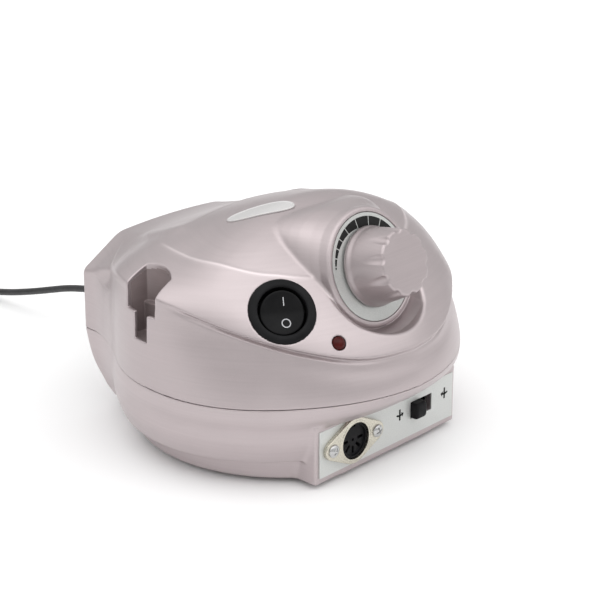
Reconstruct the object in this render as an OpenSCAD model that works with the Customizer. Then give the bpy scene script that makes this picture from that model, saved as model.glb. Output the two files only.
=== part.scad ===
// Nail drill control box: round two-piece housing on a rear block, with a tilted speed knob,
// a round rocker switch, a socket for the handpiece and a direction slide.
// Millimetres. +Z up, the front panel faces -Y, the floor is z = 0.

/* [Housing] */
// wall thickness of both housing halves
wall = 2.4; // [1.8:0.1:3]
// height of the parting line above the floor
part_z = 31.6; // [28:0.1:36]
// visible gap at the parting line
part_gap = 0.4; // [0.2:0.1:0.8]
// height of the recessed plinth under the base
plinth_z = 10; // [6:0.5:12]
// radius of the plinth
plinth_r = 54.5; // [48:0.5:58]
// half width of the rear block
rear_w = 43; // [38:0.5:48]
// rear face of the rear block, from the centre
rear_y = 62.7; // [58:0.1:66]

/* [Front panel] */
// distance of the flat front panel from the centre
panel_y = 48; // [44:0.1:52]
// half width of the panel block
panel_w = 36.8; // [30:0.1:40]
// top of the panel block, under the overhang
panel_top = 22.6; // [20:0.1:25]
// label plate half width
label_w = 35.2; // [28:0.1:36]
// label plate thickness
label_t = 0.5; // [0.3:0.1:1]
// sideways place of the handpiece socket
din_x = -18.9; // [-20:0.1:-16]
// height of the handpiece socket
din_z = 13.5; // [12.8:0.1:13.8]
// half spacing of the socket screws
din_screw = 11.1; // [10.8:0.05:11.4]
// thickness of the socket's flange
din_t = 1.6; // [0.8:0.1:2]
// sideways place of the direction slide
slide_x = 17.6; // [14:0.1:20]
// height of the direction slide
slide_z = 13.9; // [11:0.1:14.5]
// width of the slide's button
slide_w = 5.6; // [5:0.1:6]

/* [Dial and knob] */
// tilt of the dial axis above the horizontal
dial_tilt = 19.5; // [10:0.5:30]
// radius of the silver dial plate
dial_r = 18.6; // [15:0.1:20]
// radius of the knob skirt
knob_skirt_r = 14; // [11:0.1:15]
// radius of the knob's grip at the face
knob_face_r = 11.2; // [9:0.1:13]
// height of the knob face above the dial
knob_h = 16.5; // [13:0.1:20]
// number of finger flutes around the grip
knob_flutes = 10; // [8:1:16]
// radius of the control shaft
shaft_r = 3.0; // [2.9:0.01:3.2]

/* [Switches and lamp] */
// outer radius of the rocker's bezel
rocker_bezel_r = 11.2; // [10.8:0.1:12]
// radius of the rocker's cut-out in the housing
rocker_hole_r = 10; // [9.8:0.05:10.2]
// rest tilt of the rocker
rocker_tilt = 8; // [5:0.5:10]
// lamp lens radius
lamp_r = 2.4; // [1.4:0.1:3]

/* [Holder slots] */
// half width of the wide part of each side slot
slot_wide = 7.3; // [5:0.1:9]
// half width of the narrow part
slot_narrow = 3.2; // [2:0.1:4]
// place of the slots along the side
slot_y = 6; // [2:0.1:10]

/* [Mains lead] */
// lead radius
cord_r = 1.4; // [1.2:0.05:3]
// lead exit height
cord_z = 25; // [22:0.5:27]
// length of the tapered boot where the lead leaves the housing
boot_l = 25; // [20:1:40]

/* [Hidden] */
$fn = 48;
eps = 0.02;
rose = [0.78, 0.70, 0.70];
rose_dark = [0.66, 0.58, 0.58];
black = [0.09, 0.09, 0.10];
silver = [0.80, 0.80, 0.79];
nickel = [0.74, 0.72, 0.66];
y0 = 1.5;                 // centre of the round body
NA = 60;                  // points around each loft ring
dial_c = [0, -39.45, 68.95];
rock_p = [-38.1, -34.4, 62.0];
rock_n = [-0.41, -0.66, 0.64];
lamp_p = [-26.6, -49.1, 51.5];
lamp_n = [-0.31, -0.77, 0.56];
badge_p = [-17.7, -4.5, 84.65];
badge_n = [-0.20, 0.06, 0.975];
badge_turn = -26.5;
badge_a = 12;
badge_b = 4.9;
posts = [[40, -24], [-40, -24], [40, 20], [-40, 20]];
feet = [[28, -38], [-28, -38], [26, 40], [-26, 40]];
board_holes = [[30, -26], [-30, -26], [30, 6], [-30, 6]];
coil_c = [-12, 216];
coil_m = 15.6;

// knots: [angle from the front, value] for the round body, and [y, value] for the hood
K_rp = [[0, 64.2], [30, 64.4], [60, 65.4], [90, 65.2], [110, 64], [130, 62], [180, 61]];
K_r1 = [[0, 60.9], [20, 60.3], [40, 59.4], [60, 59.3], [70, 59.9], [80, 61.6], [88, 63.6], [95, 64.2], [110, 63], [130, 60.5], [180, 59]];
K_z1 = [[0, 45], [20, 45.8], [41, 50.7], [60, 56.3], [75, 61], [88, 65.3], [100, 67], [112, 66.5], [125, 63.5], [140, 58], [180, 54]];
K_r2 = [[0, 41.2], [30, 41.5], [48, 43], [56, 44.5], [65, 45.7], [84, 45.9], [97, 45.2], [116, 45.6], [130, 48], [180, 50]];
K_zr = [[-46, 63.5], [-40, 68], [-34, 72.4], [-27.5, 77.5], [-22, 81.5], [-17, 84.8], [-12, 86.9], [-6, 87.2], [4, 84.85], [14, 81.95], [24, 78.4], [34, 74], [45, 69.6], [56, 66.7], [64, 65.2]];
K_kx = [[-48, 0.0075], [-40, 0.0075], [-28, 0.006], [-8, 0.006], [2, 0.0054], [14, 0.0045], [26, 0.0037], [46, 0.0024], [64, 0.002]];

function kseg(x, K, i = 0) = (i >= len(K) - 2 || x < K[i + 1][0]) ? i : kseg(x, K, i + 1);
function kslope(K, i) = let (a = max(0, i - 1), b = min(len(K) - 1, i + 1)) (K[b][1] - K[a][1]) / (K[b][0] - K[a][0]);
function cub(x, K) = let (i = kseg(x, K), h = K[i + 1][0] - K[i][0], t = max(0, min(1, (x - K[i][0]) / h)), t2 = t * t, t3 = t2 * t)
    K[i][1] * (2 * t3 - 3 * t2 + 1) + kslope(K, i) * h * (t3 - 2 * t2 + t)
    + K[i + 1][1] * (3 * t2 - 2 * t3) + kslope(K, i + 1) * h * (t3 - t2);

function hood(x, y) = cub(y, K_zr) - cub(y, K_kx) * x * x;
function rp(r, z, th) = [r * sin(th), y0 - r * cos(th), z];
function hp(r, th, dz = 0) = let (p = rp(r, 0, th)) [p[0], p[1], hood(p[0], p[1]) + dz];
function angs() = [for (i = [0:NA - 1]) -180 + 360 * i / NA];
function lerp(a, b, t) = a * (1 - t) + b * t;
function cpos(th) = max(0, cos(th));
function cneg(th) = max(0, -cos(th));
function r_ten(th) = 61 - (abs(th) < 90 ? 5.5 : 3) * cos(th) * cos(th);
function r_over(th) = 64 - 8.5 * pow(cpos(th), 4) - 4 * pow(cneg(th), 2);
function ring(f) = [for (a = angs()) f(a)];

// outer rings of the upper half: parting line, flank, lip, band edge, band, hood
function r_flank(a, t) = lerp(cub(abs(a), K_rp), cub(abs(a), K_r1) - 1.4, t) + 2.9 * t * (1 - t);
function z_flank(a, t, z) = lerp(z, cub(abs(a), K_z1) - 3, t);
function band(a, t, o = 0) = let (q = abs(a), r2 = cub(q, K_r2), p2 = hp(r2, a))
    rp(lerp(cub(q, K_r1), r2, t) + 4 * t * (1 - t) - o, lerp(cub(q, K_z1), p2[2], t) + 2.4 * t * (1 - t) - o, a);
function top_rings(z) = concat(
    [ring(function (a) rp(cub(abs(a), K_rp), z, a))],
    [for (t = [0.34, 0.67]) ring(function (a) rp(r_flank(a, t), z_flank(a, t, z), a))],
    [ring(function (a) rp(cub(abs(a), K_r1) - 1.5, cub(abs(a), K_z1) - 2.6, a))],
    [ring(function (a) rp(cub(abs(a), K_r1) - 1.1, cub(abs(a), K_z1) - 0.8, a))],
    [for (t = [0, 0.33, 0.67, 1]) ring(function (a) band(a, t))],
    [for (f = [0.85, 0.65, 0.42, 0.2]) ring(function (a) hp(f * cub(abs(a), K_r2), a))]);
// inner rings, one wall inside
function top_in(z) = concat(
    [ring(function (a) rp(cub(abs(a), K_rp) - wall, z, a))],
    [ring(function (a) rp(r_flank(a, 0.5) - wall, z_flank(a, 0.5, part_z), a))],
    [ring(function (a) rp(cub(abs(a), K_r1) - 1.5 - wall, cub(abs(a), K_z1) - 2.4, a))],
    [for (t = [0.45, 0.97]) ring(function (a) band(a, t, wall * 0.85))],
    [for (f = [0.8, 0.55, 0.25]) ring(function (a) hp(f * cub(abs(a), K_r2), a, -wall * 1.1))]);
// rings of the lower half
function base_rings(z) = concat(
    [ring(function (a) rp(plinth_r, 2, a)), ring(function (a) rp(plinth_r + 1, plinth_z, a))],
    [ring(function (a) rp(r_ten(a), plinth_z + 0.01, a))],
    [ring(function (a) rp(lerp(r_ten(a), r_over(a), 0.55) + 0.8, 17, a)), ring(function (a) rp(r_over(a), 22.6, a))],
    [ring(function (a) rp(lerp(r_over(a), cub(abs(a), K_rp), 0.55) + 0.6 - 0.6 * pow(cneg(a), 2), 27, a)), ring(function (a) rp(cub(abs(a), K_rp), z, a))]);
function base_in(z) = concat(
    [ring(function (a) rp(plinth_r - wall, 2 + wall, a)), ring(function (a) rp(plinth_r - wall, plinth_z + wall, a))],
    [ring(function (a) rp(r_ten(a) - wall - 0.4, plinth_z + wall + 0.01, a)), ring(function (a) rp(r_over(a) - wall, 22.6, a))],
    [ring(function (a) rp(cub(abs(a), K_rp) - wall, z, a))]);

// rear block of the upper half: [y, half width, wall top, half width of the flat top]
rear_sec = [[22, 46, 60, 31], [35, 46, 60, 30], [44, 45.5, 59.5, 29.5], [49, 44.5, 58, 28.5], [56, rear_w + 0.3, 55.5, 26.5], [rear_y, rear_w, 54, 25]];
function sec_pts(s, o, z, dy = 0) = let (y = s[0], a = s[1] - o, b = s[2] - 0.6 * o, x = s[3] - 0.4 * o, up = 1.65 * pow(max(y - 26, 0) / 36.7, 2), zt = hood(s[3], y) + up - 1.1 * o, zm = hood(0, y) + 0.4 * up - 1.1 * o)
    [[-a, y + dy, z], [-a + 0.3, y + dy, b], [-x, y + dy, zt], [-0.5 * x, y + dy, 0.25 * zt + 0.75 * zm], [0, y + dy, zm],
     [0.5 * x, y + dy, 0.25 * zt + 0.75 * zm], [x, y + dy, zt], [a - 0.3, y + dy, b], [a, y + dy, z]];
// rear block of the lower half: [z, half width, rear face]
low_sec = [[2, 34, 53.7], [plinth_z, 38.6, 58.3], [20, 41.6, 61.3], [part_z, rear_w, rear_y]];
function low_ring(z, w, y, o) = [[-w + o, 10, z], [w - o, 10, z], [w - o, y - o - 1.2, z], [w - o - 1, y - o, z], [-w + o + 1, y - o, z], [-w + o, y - o - 1.2, z]];

// closed solid through a stack of rings with the same number of points
module loft(R) {
    n = len(R[0]);
    m = len(R);
    flat = [for (r = R) each r];
    c0 = [for (k = [0:2]) let (v = [for (p = R[0]) p[k]]) v * [for (i = v) 1] / n];
    c1 = [for (k = [0:2]) let (v = [for (p = R[m - 1]) p[k]]) v * [for (i = v) 1] / n];
    polyhedron(points = concat(flat, [c0, c1]), convexity = 8, faces = concat(
        [for (k = [0:m - 2], i = [0:n - 1]) let (a = k * n + i, b = k * n + (i + 1) % n) each [[a, a + n, b + n], [a, b + n, b]]],
        [for (i = [0:n - 1]) [m * n, i, (i + 1) % n]],
        [for (i = [0:n - 1]) [m * n + 1, (m - 1) * n + (i + 1) % n, (m - 1) * n + i]]));
}
// local frame with +Z along n, +X pointing down the slope
module along(p, n) {
    translate(p) rotate([0, acos(n[2] / norm(n)), atan2(n[1], n[0])]) children();
}
// local frame of the dial: +Z out of the dial, +X to the right, h above the dial seat
module dial_at(h = 0) {
    translate(dial_c) rotate([90 - dial_tilt, 0, 0]) translate([0, 0, h]) children();
}
function sgn_pow(v, e) = (v < 0 ? -1 : 1) * pow(abs(v), e);
function sq(r, e, h) = [for (i = [0:47]) let (a = 360 * i / 48) [r * sgn_pow(cos(a), 2 / e), r * (1 + 0.0022 * min(0, h)) * sgn_pow(sin(a), 2 / e), h]];
turret_sec = [[-24, 25.2, 5], [-18, 25.2, 5], [-15, 24.9, 4.4], [-12, 24.4, 3.8], [-9, 23.6, 3.2], [-6, 22.3, 2.6], [-3, 21.2, 2.2], [0.8, 20.6, 2]];
module turret(o = 0, top = 0.8) {
    loft([for (s = turret_sec) sq(s[1] - o, s[2], s[0] == 0.8 ? top : s[0])]);
}
module ellipse_disc(a, b, h) {
    linear_extrude(h) polygon([for (i = [0:35]) [a * cos(10 * i), b * sin(10 * i)]]);
}
module side_slots(g) {
    for (m = [0, 1]) mirror([m, 0, 0]) {
        translate([56.3 - g, slot_y - slot_wide - g, 58 - g]) cube([20, 2 * (slot_wide + g), 40]);
        translate([59.5 - g, slot_y - slot_narrow - g, 48.5 - g]) cube([20, 2 * (slot_narrow + g), 20]);
    }
}
module hex(r, h) { cylinder(r = r, h = h, $fn = 6); }

// ---------------------------------------------------------------- housing
module top_shell() {
    color(rose) difference() {
        union() {
            difference() {
                union() {
                    loft(top_rings(part_z + part_gap / 2));
                    loft([for (s = rear_sec) sec_pts(s, 0, part_z + part_gap / 2)]);
                }
                dial_at(-5) cylinder(r = 23.6, h = 60);
            }
            dial_at() turret();
        }
        // cavity, leaving the bay wall and the slot walls
        difference() {
            union() {
                loft(top_in(part_z - 1));
                loft([for (i = [0:len(rear_sec) - 1]) let (s = rear_sec[i]) sec_pts(s, wall, part_z - 1, i == len(rear_sec) - 1 ? -wall : 0)]);
                dial_at() turret(wall, -1.8);
            }
            difference() {
                dial_at(-7.4) cylinder(r = 25.8, h = 60);
                dial_at() turret(wall, -1.8);
            }
            side_slots(2);
            along(rock_p, rock_n) translate([0, 0, -4]) cylinder(r = 12.6, h = 6);
            for (p = posts) post_rib(p);
        }
        side_slots(0);
        // seat for the dial plate and hole for the control's bushing
        dial_at(0) cylinder(r = dial_r + 0.2, h = 3);
        dial_at(-3) cylinder(r = 3.6, h = 6);
        // rocker seat and cut-out
        along(rock_p, rock_n) translate([0, 0, -1.2]) cylinder(r = rocker_bezel_r + 0.2, h = 12);
        along(rock_p, rock_n) translate([0, 0, -8]) cylinder(r = rocker_hole_r, h = 12);
        // lamp hole
        along(lamp_p, lamp_n) translate([0, 0, -8]) cylinder(r = lamp_r + 0.1, h = 12);
        // badge seat
        along(badge_p, badge_n) rotate([0, 0, badge_turn]) translate([0, 0, -0.3]) ellipse_disc(badge_a + 0.3, badge_b + 0.3, 6);
        // pilot holes
        for (p = posts) translate([p[0], p[1], 20]) cylinder(r = 1.5, h = 20.5);
    }
    color(rose) for (p = posts) difference() {
        translate([p[0], p[1], 25]) cylinder(r = 4.2, h = part_z - 25 + 3);
        translate([p[0], p[1], 20]) cylinder(r = 1.5, h = 20.5);
    }
}
// solid left standing in the cavity around one screw post, out to the wall
module post_rib(p) {
    translate([p[0], p[1], part_z - 2]) cylinder(r = 4.2, h = 12.4);
    d = [p[0], p[1] - y0];
    translate([p[0], p[1], part_z - 2]) rotate([0, 0, atan2(d[1], d[0])]) translate([0, -1.2, 0]) cube([19, 2.4, 12.4]);
}

module base_shell() {
    color(rose) difference() {
        union() {
            difference() {
                union() {
                    loft(base_rings(part_z - part_gap / 2));
                    loft([for (s = low_sec) low_ring(s[0] == part_z ? part_z - part_gap / 2 : s[0], s[1], s[2], 0)]);
                }
                translate([-80, -panel_y - 40, -1]) cube([160, 40, panel_top + 1]);
            }
            translate([-panel_w, -panel_y, 2]) cube([2 * panel_w, 16, panel_top - 2]);
            // thick pad behind the lead's grommet
            translate([0, rear_y - 7, cord_z]) rotate([-90, 0, 0]) cylinder(r = 6.2, h = 5.4);
        }
        difference() {
            union() {
                loft(base_in(part_z + 1));
                loft([for (s = low_sec) low_ring(s[0] == 2 ? 2 + wall : s[0] == part_z ? part_z + 1 : s[0], s[1] - wall, s[2] - wall, 0)]);
                // room behind the whole width of the panel
                translate([-panel_w + wall, -panel_y + wall - 1, 2 + wall]) cube([2 * (panel_w - wall), 15, panel_top - 2 - 2 * wall]);
            }
            translate([-80, -panel_y - 40 + wall, -1]) cube([160, 40, panel_top + wall + 1]);
            for (p = posts) translate([p[0], p[1], 0]) cylinder(r = 4.6, h = 25);
            for (p = board_holes) translate([p[0], p[1], 0]) cylinder(r = 3.2, h = 9);
        }
        // screw wells and holes
        for (p = posts) translate([p[0], p[1], 1]) cylinder(r = 3.3, h = 15);
        for (p = posts) translate([p[0], p[1], 1]) cylinder(r = 1.7, h = 40);
        for (p = board_holes) translate([p[0], p[1], 4.6]) cylinder(r = 1.45, h = 10);
        for (x = [-30, 30]) translate([x, 33, 2.8]) cylinder(r = 1.45, h = 4);
        for (p = feet) translate([p[0], p[1], 1]) cylinder(r = 4.6, h = 1.6);
        // socket, its screws and the slide
        translate([din_x, -panel_y - 1, din_z]) rotate([-90, 0, 0]) cylinder(r = 7.6, h = 8);
        for (s = [-1, 1]) translate([din_x + s * din_screw, -panel_y - 1, din_z]) rotate([-90, 0, 0]) cylinder(r = 1.5, h = 8);
        translate([slide_x - 5.8, -panel_y - 1, slide_z - 3.2]) cube([11.6, 8, 6.4]);
        // lead exit
        translate([0, rear_y - 12, cord_z]) rotate([-90, 0, 0]) cylinder(r = 3.2, h = 20);
        translate([0, rear_y - 1.3, cord_z]) rotate([-90, 0, 0]) cylinder(r = 5.3, h = 6);
        // posts stay below the upper half's posts
        for (p = posts) translate([p[0], p[1], 25]) cylinder(r = 4.7, h = 10);
    }
}
module rubber_feet() {
    color(black) for (p = feet) translate([p[0], p[1], 0]) rotate_extrude()
        polygon([[0, 0], [3.9, 0], [4.5, 0.6], [4.5, 2.6], [0, 2.6]]);
}
module case_screws() {
    color(silver) for (p = posts) translate([p[0], p[1], 0]) difference() {
        union() {
            translate([0, 0, 13.8]) cylinder(r = 2.9, h = 2.2);
            translate([0, 0, 16]) cylinder(r = 1.45, h = 23);
        }
        translate([-2, -0.35, 13]) cube([4, 0.7, 1.8]);
        translate([-0.35, -2, 13]) cube([0.7, 4, 1.8]);
    }
}

// ---------------------------------------------------------------- front panel
module front_label() {
    color(silver) difference() {
        translate([-label_w, -panel_y - label_t, 4.3]) cube([2 * label_w, label_t, 17.1]);
        translate([din_x, -panel_y - 2, din_z]) rotate([-90, 0, 0]) cylinder(r = 7.6, h = 4);
        for (s = [-1, 1]) translate([din_x + s * din_screw, -panel_y - 2, din_z]) rotate([-90, 0, 0]) cylinder(r = 1.5, h = 4);
        translate([slide_x - 5.8, -panel_y - 2, slide_z - 3.2]) cube([11.6, 4, 6.4]);
    }
}
module din_flange() {
    color(nickel) translate([din_x, -panel_y - label_t, din_z]) rotate([90, 0, 0]) difference() {
        union() {
            cylinder(r = 8.4, h = din_t);
            for (s = [-1, 1]) translate([s * din_screw, 0, 0]) cylinder(r = 3.5, h = din_t);
            linear_extrude(din_t) polygon([[-12.65, 3.13], [-3.7, 7.53], [3.7, 7.53], [12.65, 3.13], [12.65, -3.13], [3.7, -7.53], [-3.7, -7.53], [-12.65, -3.13]]);
            translate([0, 0, -12]) cylinder(r = 7.4, h = 12.4);
        }
        translate([0, 0, -13]) cylinder(r = 6.6, h = 16);
        for (s = [-1, 1]) translate([s * din_screw, 0, -1]) cylinder(r = 1.5, h = 4);
    }
}
din_pins = [180, 225, 270, 315, 360];
module din_insert() {
    color(black) translate([din_x, -panel_y - label_t, din_z]) rotate([90, 0, 0]) difference() {
        translate([0, 0, -11.8]) cylinder(r = 6.55, h = 11.8 + din_t - 0.6);
        for (a = din_pins) translate([3.8 * cos(a), 3.8 * sin(a), -13]) cylinder(r = 0.95, h = 16);
        translate([-1.2, 4.9, -3]) cube([2.4, 3, 6]);
    }
}
module din_contacts() {
    color(nickel) translate([din_x, -panel_y - label_t, din_z]) rotate([90, 0, 0])
        for (a = din_pins) translate([3.8 * cos(a), 3.8 * sin(a), -16.5]) cylinder(r = 0.9, h = 14.5);
}
module din_screws() {
    color(silver) for (s = [-1, 1]) translate([din_x + s * din_screw, -panel_y - label_t - din_t, din_z]) rotate([90, 0, 0]) difference() {
        union() {
            rotate_extrude() polygon([[0, 0], [2.3, 0], [2.3, 0.5], [1.7, 1.1], [0, 1.3]]);
            translate([0, 0, -7.3]) cylinder(r = 1.25, h = 7.3);
        }
        rotate([0, 0, 35]) {
            translate([-1.3, -0.25, 0.6]) cube([2.6, 0.5, 2]);
            translate([-0.25, -1.3, 0.6]) cube([0.5, 2.6, 2]);
        }
    }
}
module din_nuts() {
    color(silver) for (s = [-1, 1]) translate([din_x + s * din_screw, -panel_y + wall, din_z]) rotate([-90, 0, 0]) difference() {
        hex(2.9, 2);
        translate([0, 0, -1]) cylinder(r = 1.3, h = 5);
    }
}
module slide_body() {
    color(black) translate([slide_x, -panel_y + wall, slide_z]) difference() {
        translate([-10, 0.6, -3.9]) cube([20, 7, 7.8]);
        translate([-5.9, -1, -3.3]) cube([11.8, 5.6, 6.6]);
    }
}
module slide_frame() {
    color(silver) translate([slide_x, -panel_y + wall, slide_z]) difference() {
        translate([-13, 0, -4.2]) cube([26, 0.6, 8.4]);
        translate([-5.9, -1, -3.3]) cube([11.8, 3, 6.6]);
    }
}
module slide_terminals() {
    color(nickel) for (x = [-4, 0, 4], z = [-1.6, 1.6]) translate([slide_x + x - 0.5, -panel_y + wall + 7.6, slide_z + z - 0.2]) cube([1, 4, 0.4]);
}
module slide_actuator() {
    color(black) translate([slide_x - 5.65, -panel_y, slide_z]) difference() {
        union() {
            translate([0, -2.9, -3]) cube([slide_w, 9.5, 6]);
        }
    }
}

// ---------------------------------------------------------------- dial and control
module dial_plate() {
    color(silver) dial_at(0) difference() {
        cylinder(r = dial_r, h = 0.5, $fn = 96);
        translate([0, 0, -1]) cylinder(r = 3.6, h = 3);
    }
}
module speed_knob() {
    color(rose_dark) dial_at(0) difference() {
        union() {
            translate([0, 0, 1.3]) cylinder(r = knob_skirt_r, h = 1.2, $fn = 96);
            translate([0, 0, 2.5]) cylinder(r1 = knob_skirt_r, r2 = knob_skirt_r - 0.8, h = 0.8, $fn = 96);
            translate([0, 0, 3.3]) cylinder(r1 = knob_skirt_r - 0.8, r2 = knob_face_r + 0.3, h = knob_h - 4.1, $fn = 96);
            translate([0, 0, knob_h - 0.8]) cylinder(r1 = knob_face_r + 0.3, r2 = knob_face_r - 0.4, h = 0.8, $fn = 96);
        }
        // flutes start at nothing above the skirt and deepen towards the face
        for (i = [0:knob_flutes - 1]) rotate([0, 0, 360 * (i + 0.5) / knob_flutes]) translate([knob_face_r + 1.15, 0, knob_h]) rotate([0, -13.2, 0]) translate([0, 0, -14]) cylinder(r = 2.15, h = 18);
        cylinder(r = 8, h = 5);
        cylinder(r = shaft_r + 0.02, h = 14.5);
    }
}
module pot_shaft() {
    color(silver) dial_at(-6) cylinder(r = shaft_r, h = 20);
}
module pot_bushing() {
    color(nickel) dial_at(-1.8) difference() {
        cylinder(r = 3.5, h = 6);
        translate([0, 0, -1]) cylinder(r = shaft_r + 0.06, h = 9);
    }
}
module pot_washer() {
    color(silver) dial_at(0.5) difference() {
        cylinder(r = 6, h = 0.5);
        translate([0, 0, -1]) cylinder(r = 3.55, h = 3);
    }
}
module pot_nut() {
    color(nickel) dial_at(1) difference() {
        hex(5.8, 2.2);
        translate([0, 0, -1]) cylinder(r = 3.52, h = 5);
    }
}
module pot_body() {
    color([0.45, 0.47, 0.50]) dial_at(-10) difference() {
        union() {
            cylinder(r = 8.2, h = 8.2);
            translate([-6.5, -12, 5.6]) cube([13, 12, 1.6]);
        }
        translate([0, 0, 3.5]) cylinder(r = 3.3, h = 6);
    }
}
module pot_terminals() {
    color(nickel) for (x = [-5, 0, 5]) dial_at(-10) translate([x - 0.7, -16, 6]) cube([1.4, 4, 0.6]);
}

// ---------------------------------------------------------------- rocker switch and lamp
module rocker_bezel() {
    color(black) along(rock_p, rock_n) difference() {
        union() {
            translate([0, 0, -1.2]) rotate_extrude() polygon([[0, 0], [rocker_bezel_r, 0], [rocker_bezel_r, 1.2], [rocker_bezel_r - 0.9, 2.1], [0, 2.1]]);
            translate([0, 0, -14]) cylinder(r = 9.8, h = 12.8);
        }
        translate([0, 0, -7.4]) cylinder(r = 8.4, h = 12);
        translate([0, 0, -3]) rotate([90, 0, 0]) cylinder(r = 1.06, h = 18.4, center = true);
    }
}
module rocker() {
    color(black) along(rock_p, rock_n) translate([0, 0, -3]) rotate([0, rocker_tilt, 0]) {
        intersection() {
            translate([0, 0, -2.6]) cylinder(r = 7.6, h = 9);
            rotate([90, 0, 0]) translate([0, 0, -10]) linear_extrude(20)
                polygon([[-8, -1.6], [-3, -2.6], [3, -2.6], [8, -1.6], [8, 3.9], [0, 2.5], [-8, 3.9]]);
        }
        rotate([90, 0, 0]) cylinder(r = 1, h = 18, center = true);
    }
}
module rocker_terminals() {
    color(nickel) for (y = [-5.5, 5.5]) along(rock_p, rock_n) translate([-2.4, y - 0.4, -21]) cube([4.8, 0.8, 7]);
}
module lamp_lens() {
    color([0.36, 0.10, 0.09]) along(lamp_p, lamp_n) {
        translate([0, 0, -5]) cylinder(r = lamp_r, h = 5.1);
        translate([0, 0, 0.1]) intersection() {
            scale([1, 1, 1]) translate([0, 0, -2.2]) sphere(r = 3.25);
            cylinder(r = lamp_r, h = 3);
        }
        translate([0, 0, -6]) cylinder(r = lamp_r + 0.5, h = 1);
    }
}
module lamp_leads() {
    color(silver) for (s = [-1.27, 1.27]) along(lamp_p, lamp_n) translate([0, s, -15]) cylinder(r = 0.3, h = 9, $fn = 16);
}
module badge_plate() {
    color(silver) along(badge_p, badge_n) rotate([0, 0, badge_turn]) translate([0, 0, -0.3]) ellipse_disc(badge_a, badge_b, 1);
}

// ---------------------------------------------------------------- inside
module main_board() {
    color([0.10, 0.32, 0.18]) difference() {
        translate([-34, -30, 9]) cube([68, 40, 1.6]);
        for (p = board_holes) translate([p[0], p[1], 8]) cylinder(r = 1.6, h = 4);
    }
}
module board_screws() {
    color(silver) for (p = board_holes) translate([p[0], p[1], 0]) {
        translate([0, 0, 10.6]) cylinder(r = 2.7, h = 1.8);
        translate([0, 0, 5]) cylinder(r = 1.4, h = 5.6);
    }
}
module heat_sink() {
    color([0.72, 0.73, 0.75]) translate([-26, 0, 10.6]) {
        cube([24, 2.5, 24]);
        for (i = [0:5]) translate([0.3 + 4.4 * i, 2.5, 0]) cube([1.5, 6, 24]);
    }
}
module power_transistor() {
    color(black) translate([-19, -4.6, 15]) cube([10, 4.6, 9]);
    color(silver) translate([-19, -1.4, 24]) difference() {
        cube([10, 1.4, 6]);
        translate([5, -1, 3]) rotate([-90, 0, 0]) cylinder(r = 1.6, h = 4);
    }
    color(nickel) for (x = [-2.5, 0, 2.5]) translate([-14 + x - 0.4, -2.8, 10.6]) cube([0.8, 0.5, 4.4]);
}
module bridge_rectifier() {
    color(black) translate([2, 2, 12.6]) cube([15, 4, 11]);
    color(nickel) for (i = [0:3]) translate([3.6 + 3.6 * i, 3.7, 10.6]) cube([0.9, 0.6, 2]);
}
module filter_capacitors() {
    color([0.10, 0.12, 0.30]) for (x = [4, 20]) translate([x, -12.5, 10.6]) rotate_extrude()
        polygon([[0, 0], [6.3, 0], [6.3, 2], [6, 2.4], [6.3, 2.8], [6.3, 21.5], [5.8, 22], [0, 22]]);
}
module control_chip() {
    color(black) translate([-22, -17, 11.4]) cube([19, 6.4, 3.4]);
    color(nickel) for (i = [0:6], s = [0, 1]) translate([-20.6 + 2.54 * i, s == 0 ? -17.5 : -10.6, 10.6]) cube([0.6, 0.5, 2.6]);
}
module fuse_clips() {
    color(nickel) for (x = [-10, 6]) translate([x, -26.2, 10.6]) difference() {
        cube([4, 7, 6.4]);
        translate([-1, 1.2, 0.6]) cube([6, 4.6, 8]);
    }
}
module fuse() {
    color([0.85, 0.87, 0.86]) translate([-9.5, -22.7, 13.6]) rotate([0, 90, 0]) cylinder(r = 2.1, h = 19);
    color(nickel) for (x = [-10, 7]) translate([x, -22.7, 13.6]) rotate([0, 90, 0]) cylinder(r = 2.28, h = 3);
}
module board_sockets() {
    color([0.92, 0.91, 0.86]) for (p = [[24, 1], [22, -26.8], [-21, -26]]) translate([p[0], p[1], 10.6]) difference() {
        translate([-4, -2.9, 0]) cube([8, 5.8, 7]);
        translate([-3.2, -2.1, 1.2]) cube([6.4, 4.2, 7]);
    }
}
module transformer_core() {
    color([0.32, 0.31, 0.30]) difference() {
        translate([-24, 22, 4.4]) cube([48, 22, 40]);
        for (x = [-16, 8]) translate([x, 20, 12.4]) cube([8, 26, 24]);
    }
}
module transformer_winding() {
    color([0.70, 0.45, 0.16]) difference() {
        translate([-15.8, 15.5, 12.6]) cube([31.6, 35, 23.6]);
        translate([-8.2, 21.8, 10]) cube([16.4, 22.4, 30]);
    }
}
module transformer_bracket() {
    color(silver) difference() {
        union() {
            translate([-25.1, 24, 44.5]) cube([50.2, 18, 0.9]);
            for (m = [0, 1]) mirror([m, 0, 0]) {
                translate([24.2, 24, 4.4]) cube([0.9, 18, 40.2]);
                translate([24.2, 24, 4.4]) cube([8.8, 18, 0.9]);
            }
        }
        for (x = [-30, 30]) translate([x, 33, 3]) cylinder(r = 1.6, h = 4);
    }
}
module transformer_screws() {
    color(silver) for (x = [-30, 30]) translate([x, 33, 0]) {
        translate([0, 0, 5.3]) cylinder(r = 2.8, h = 1.9);
        translate([0, 0, 3]) cylinder(r = 1.4, h = 2.3);
    }
}

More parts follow.
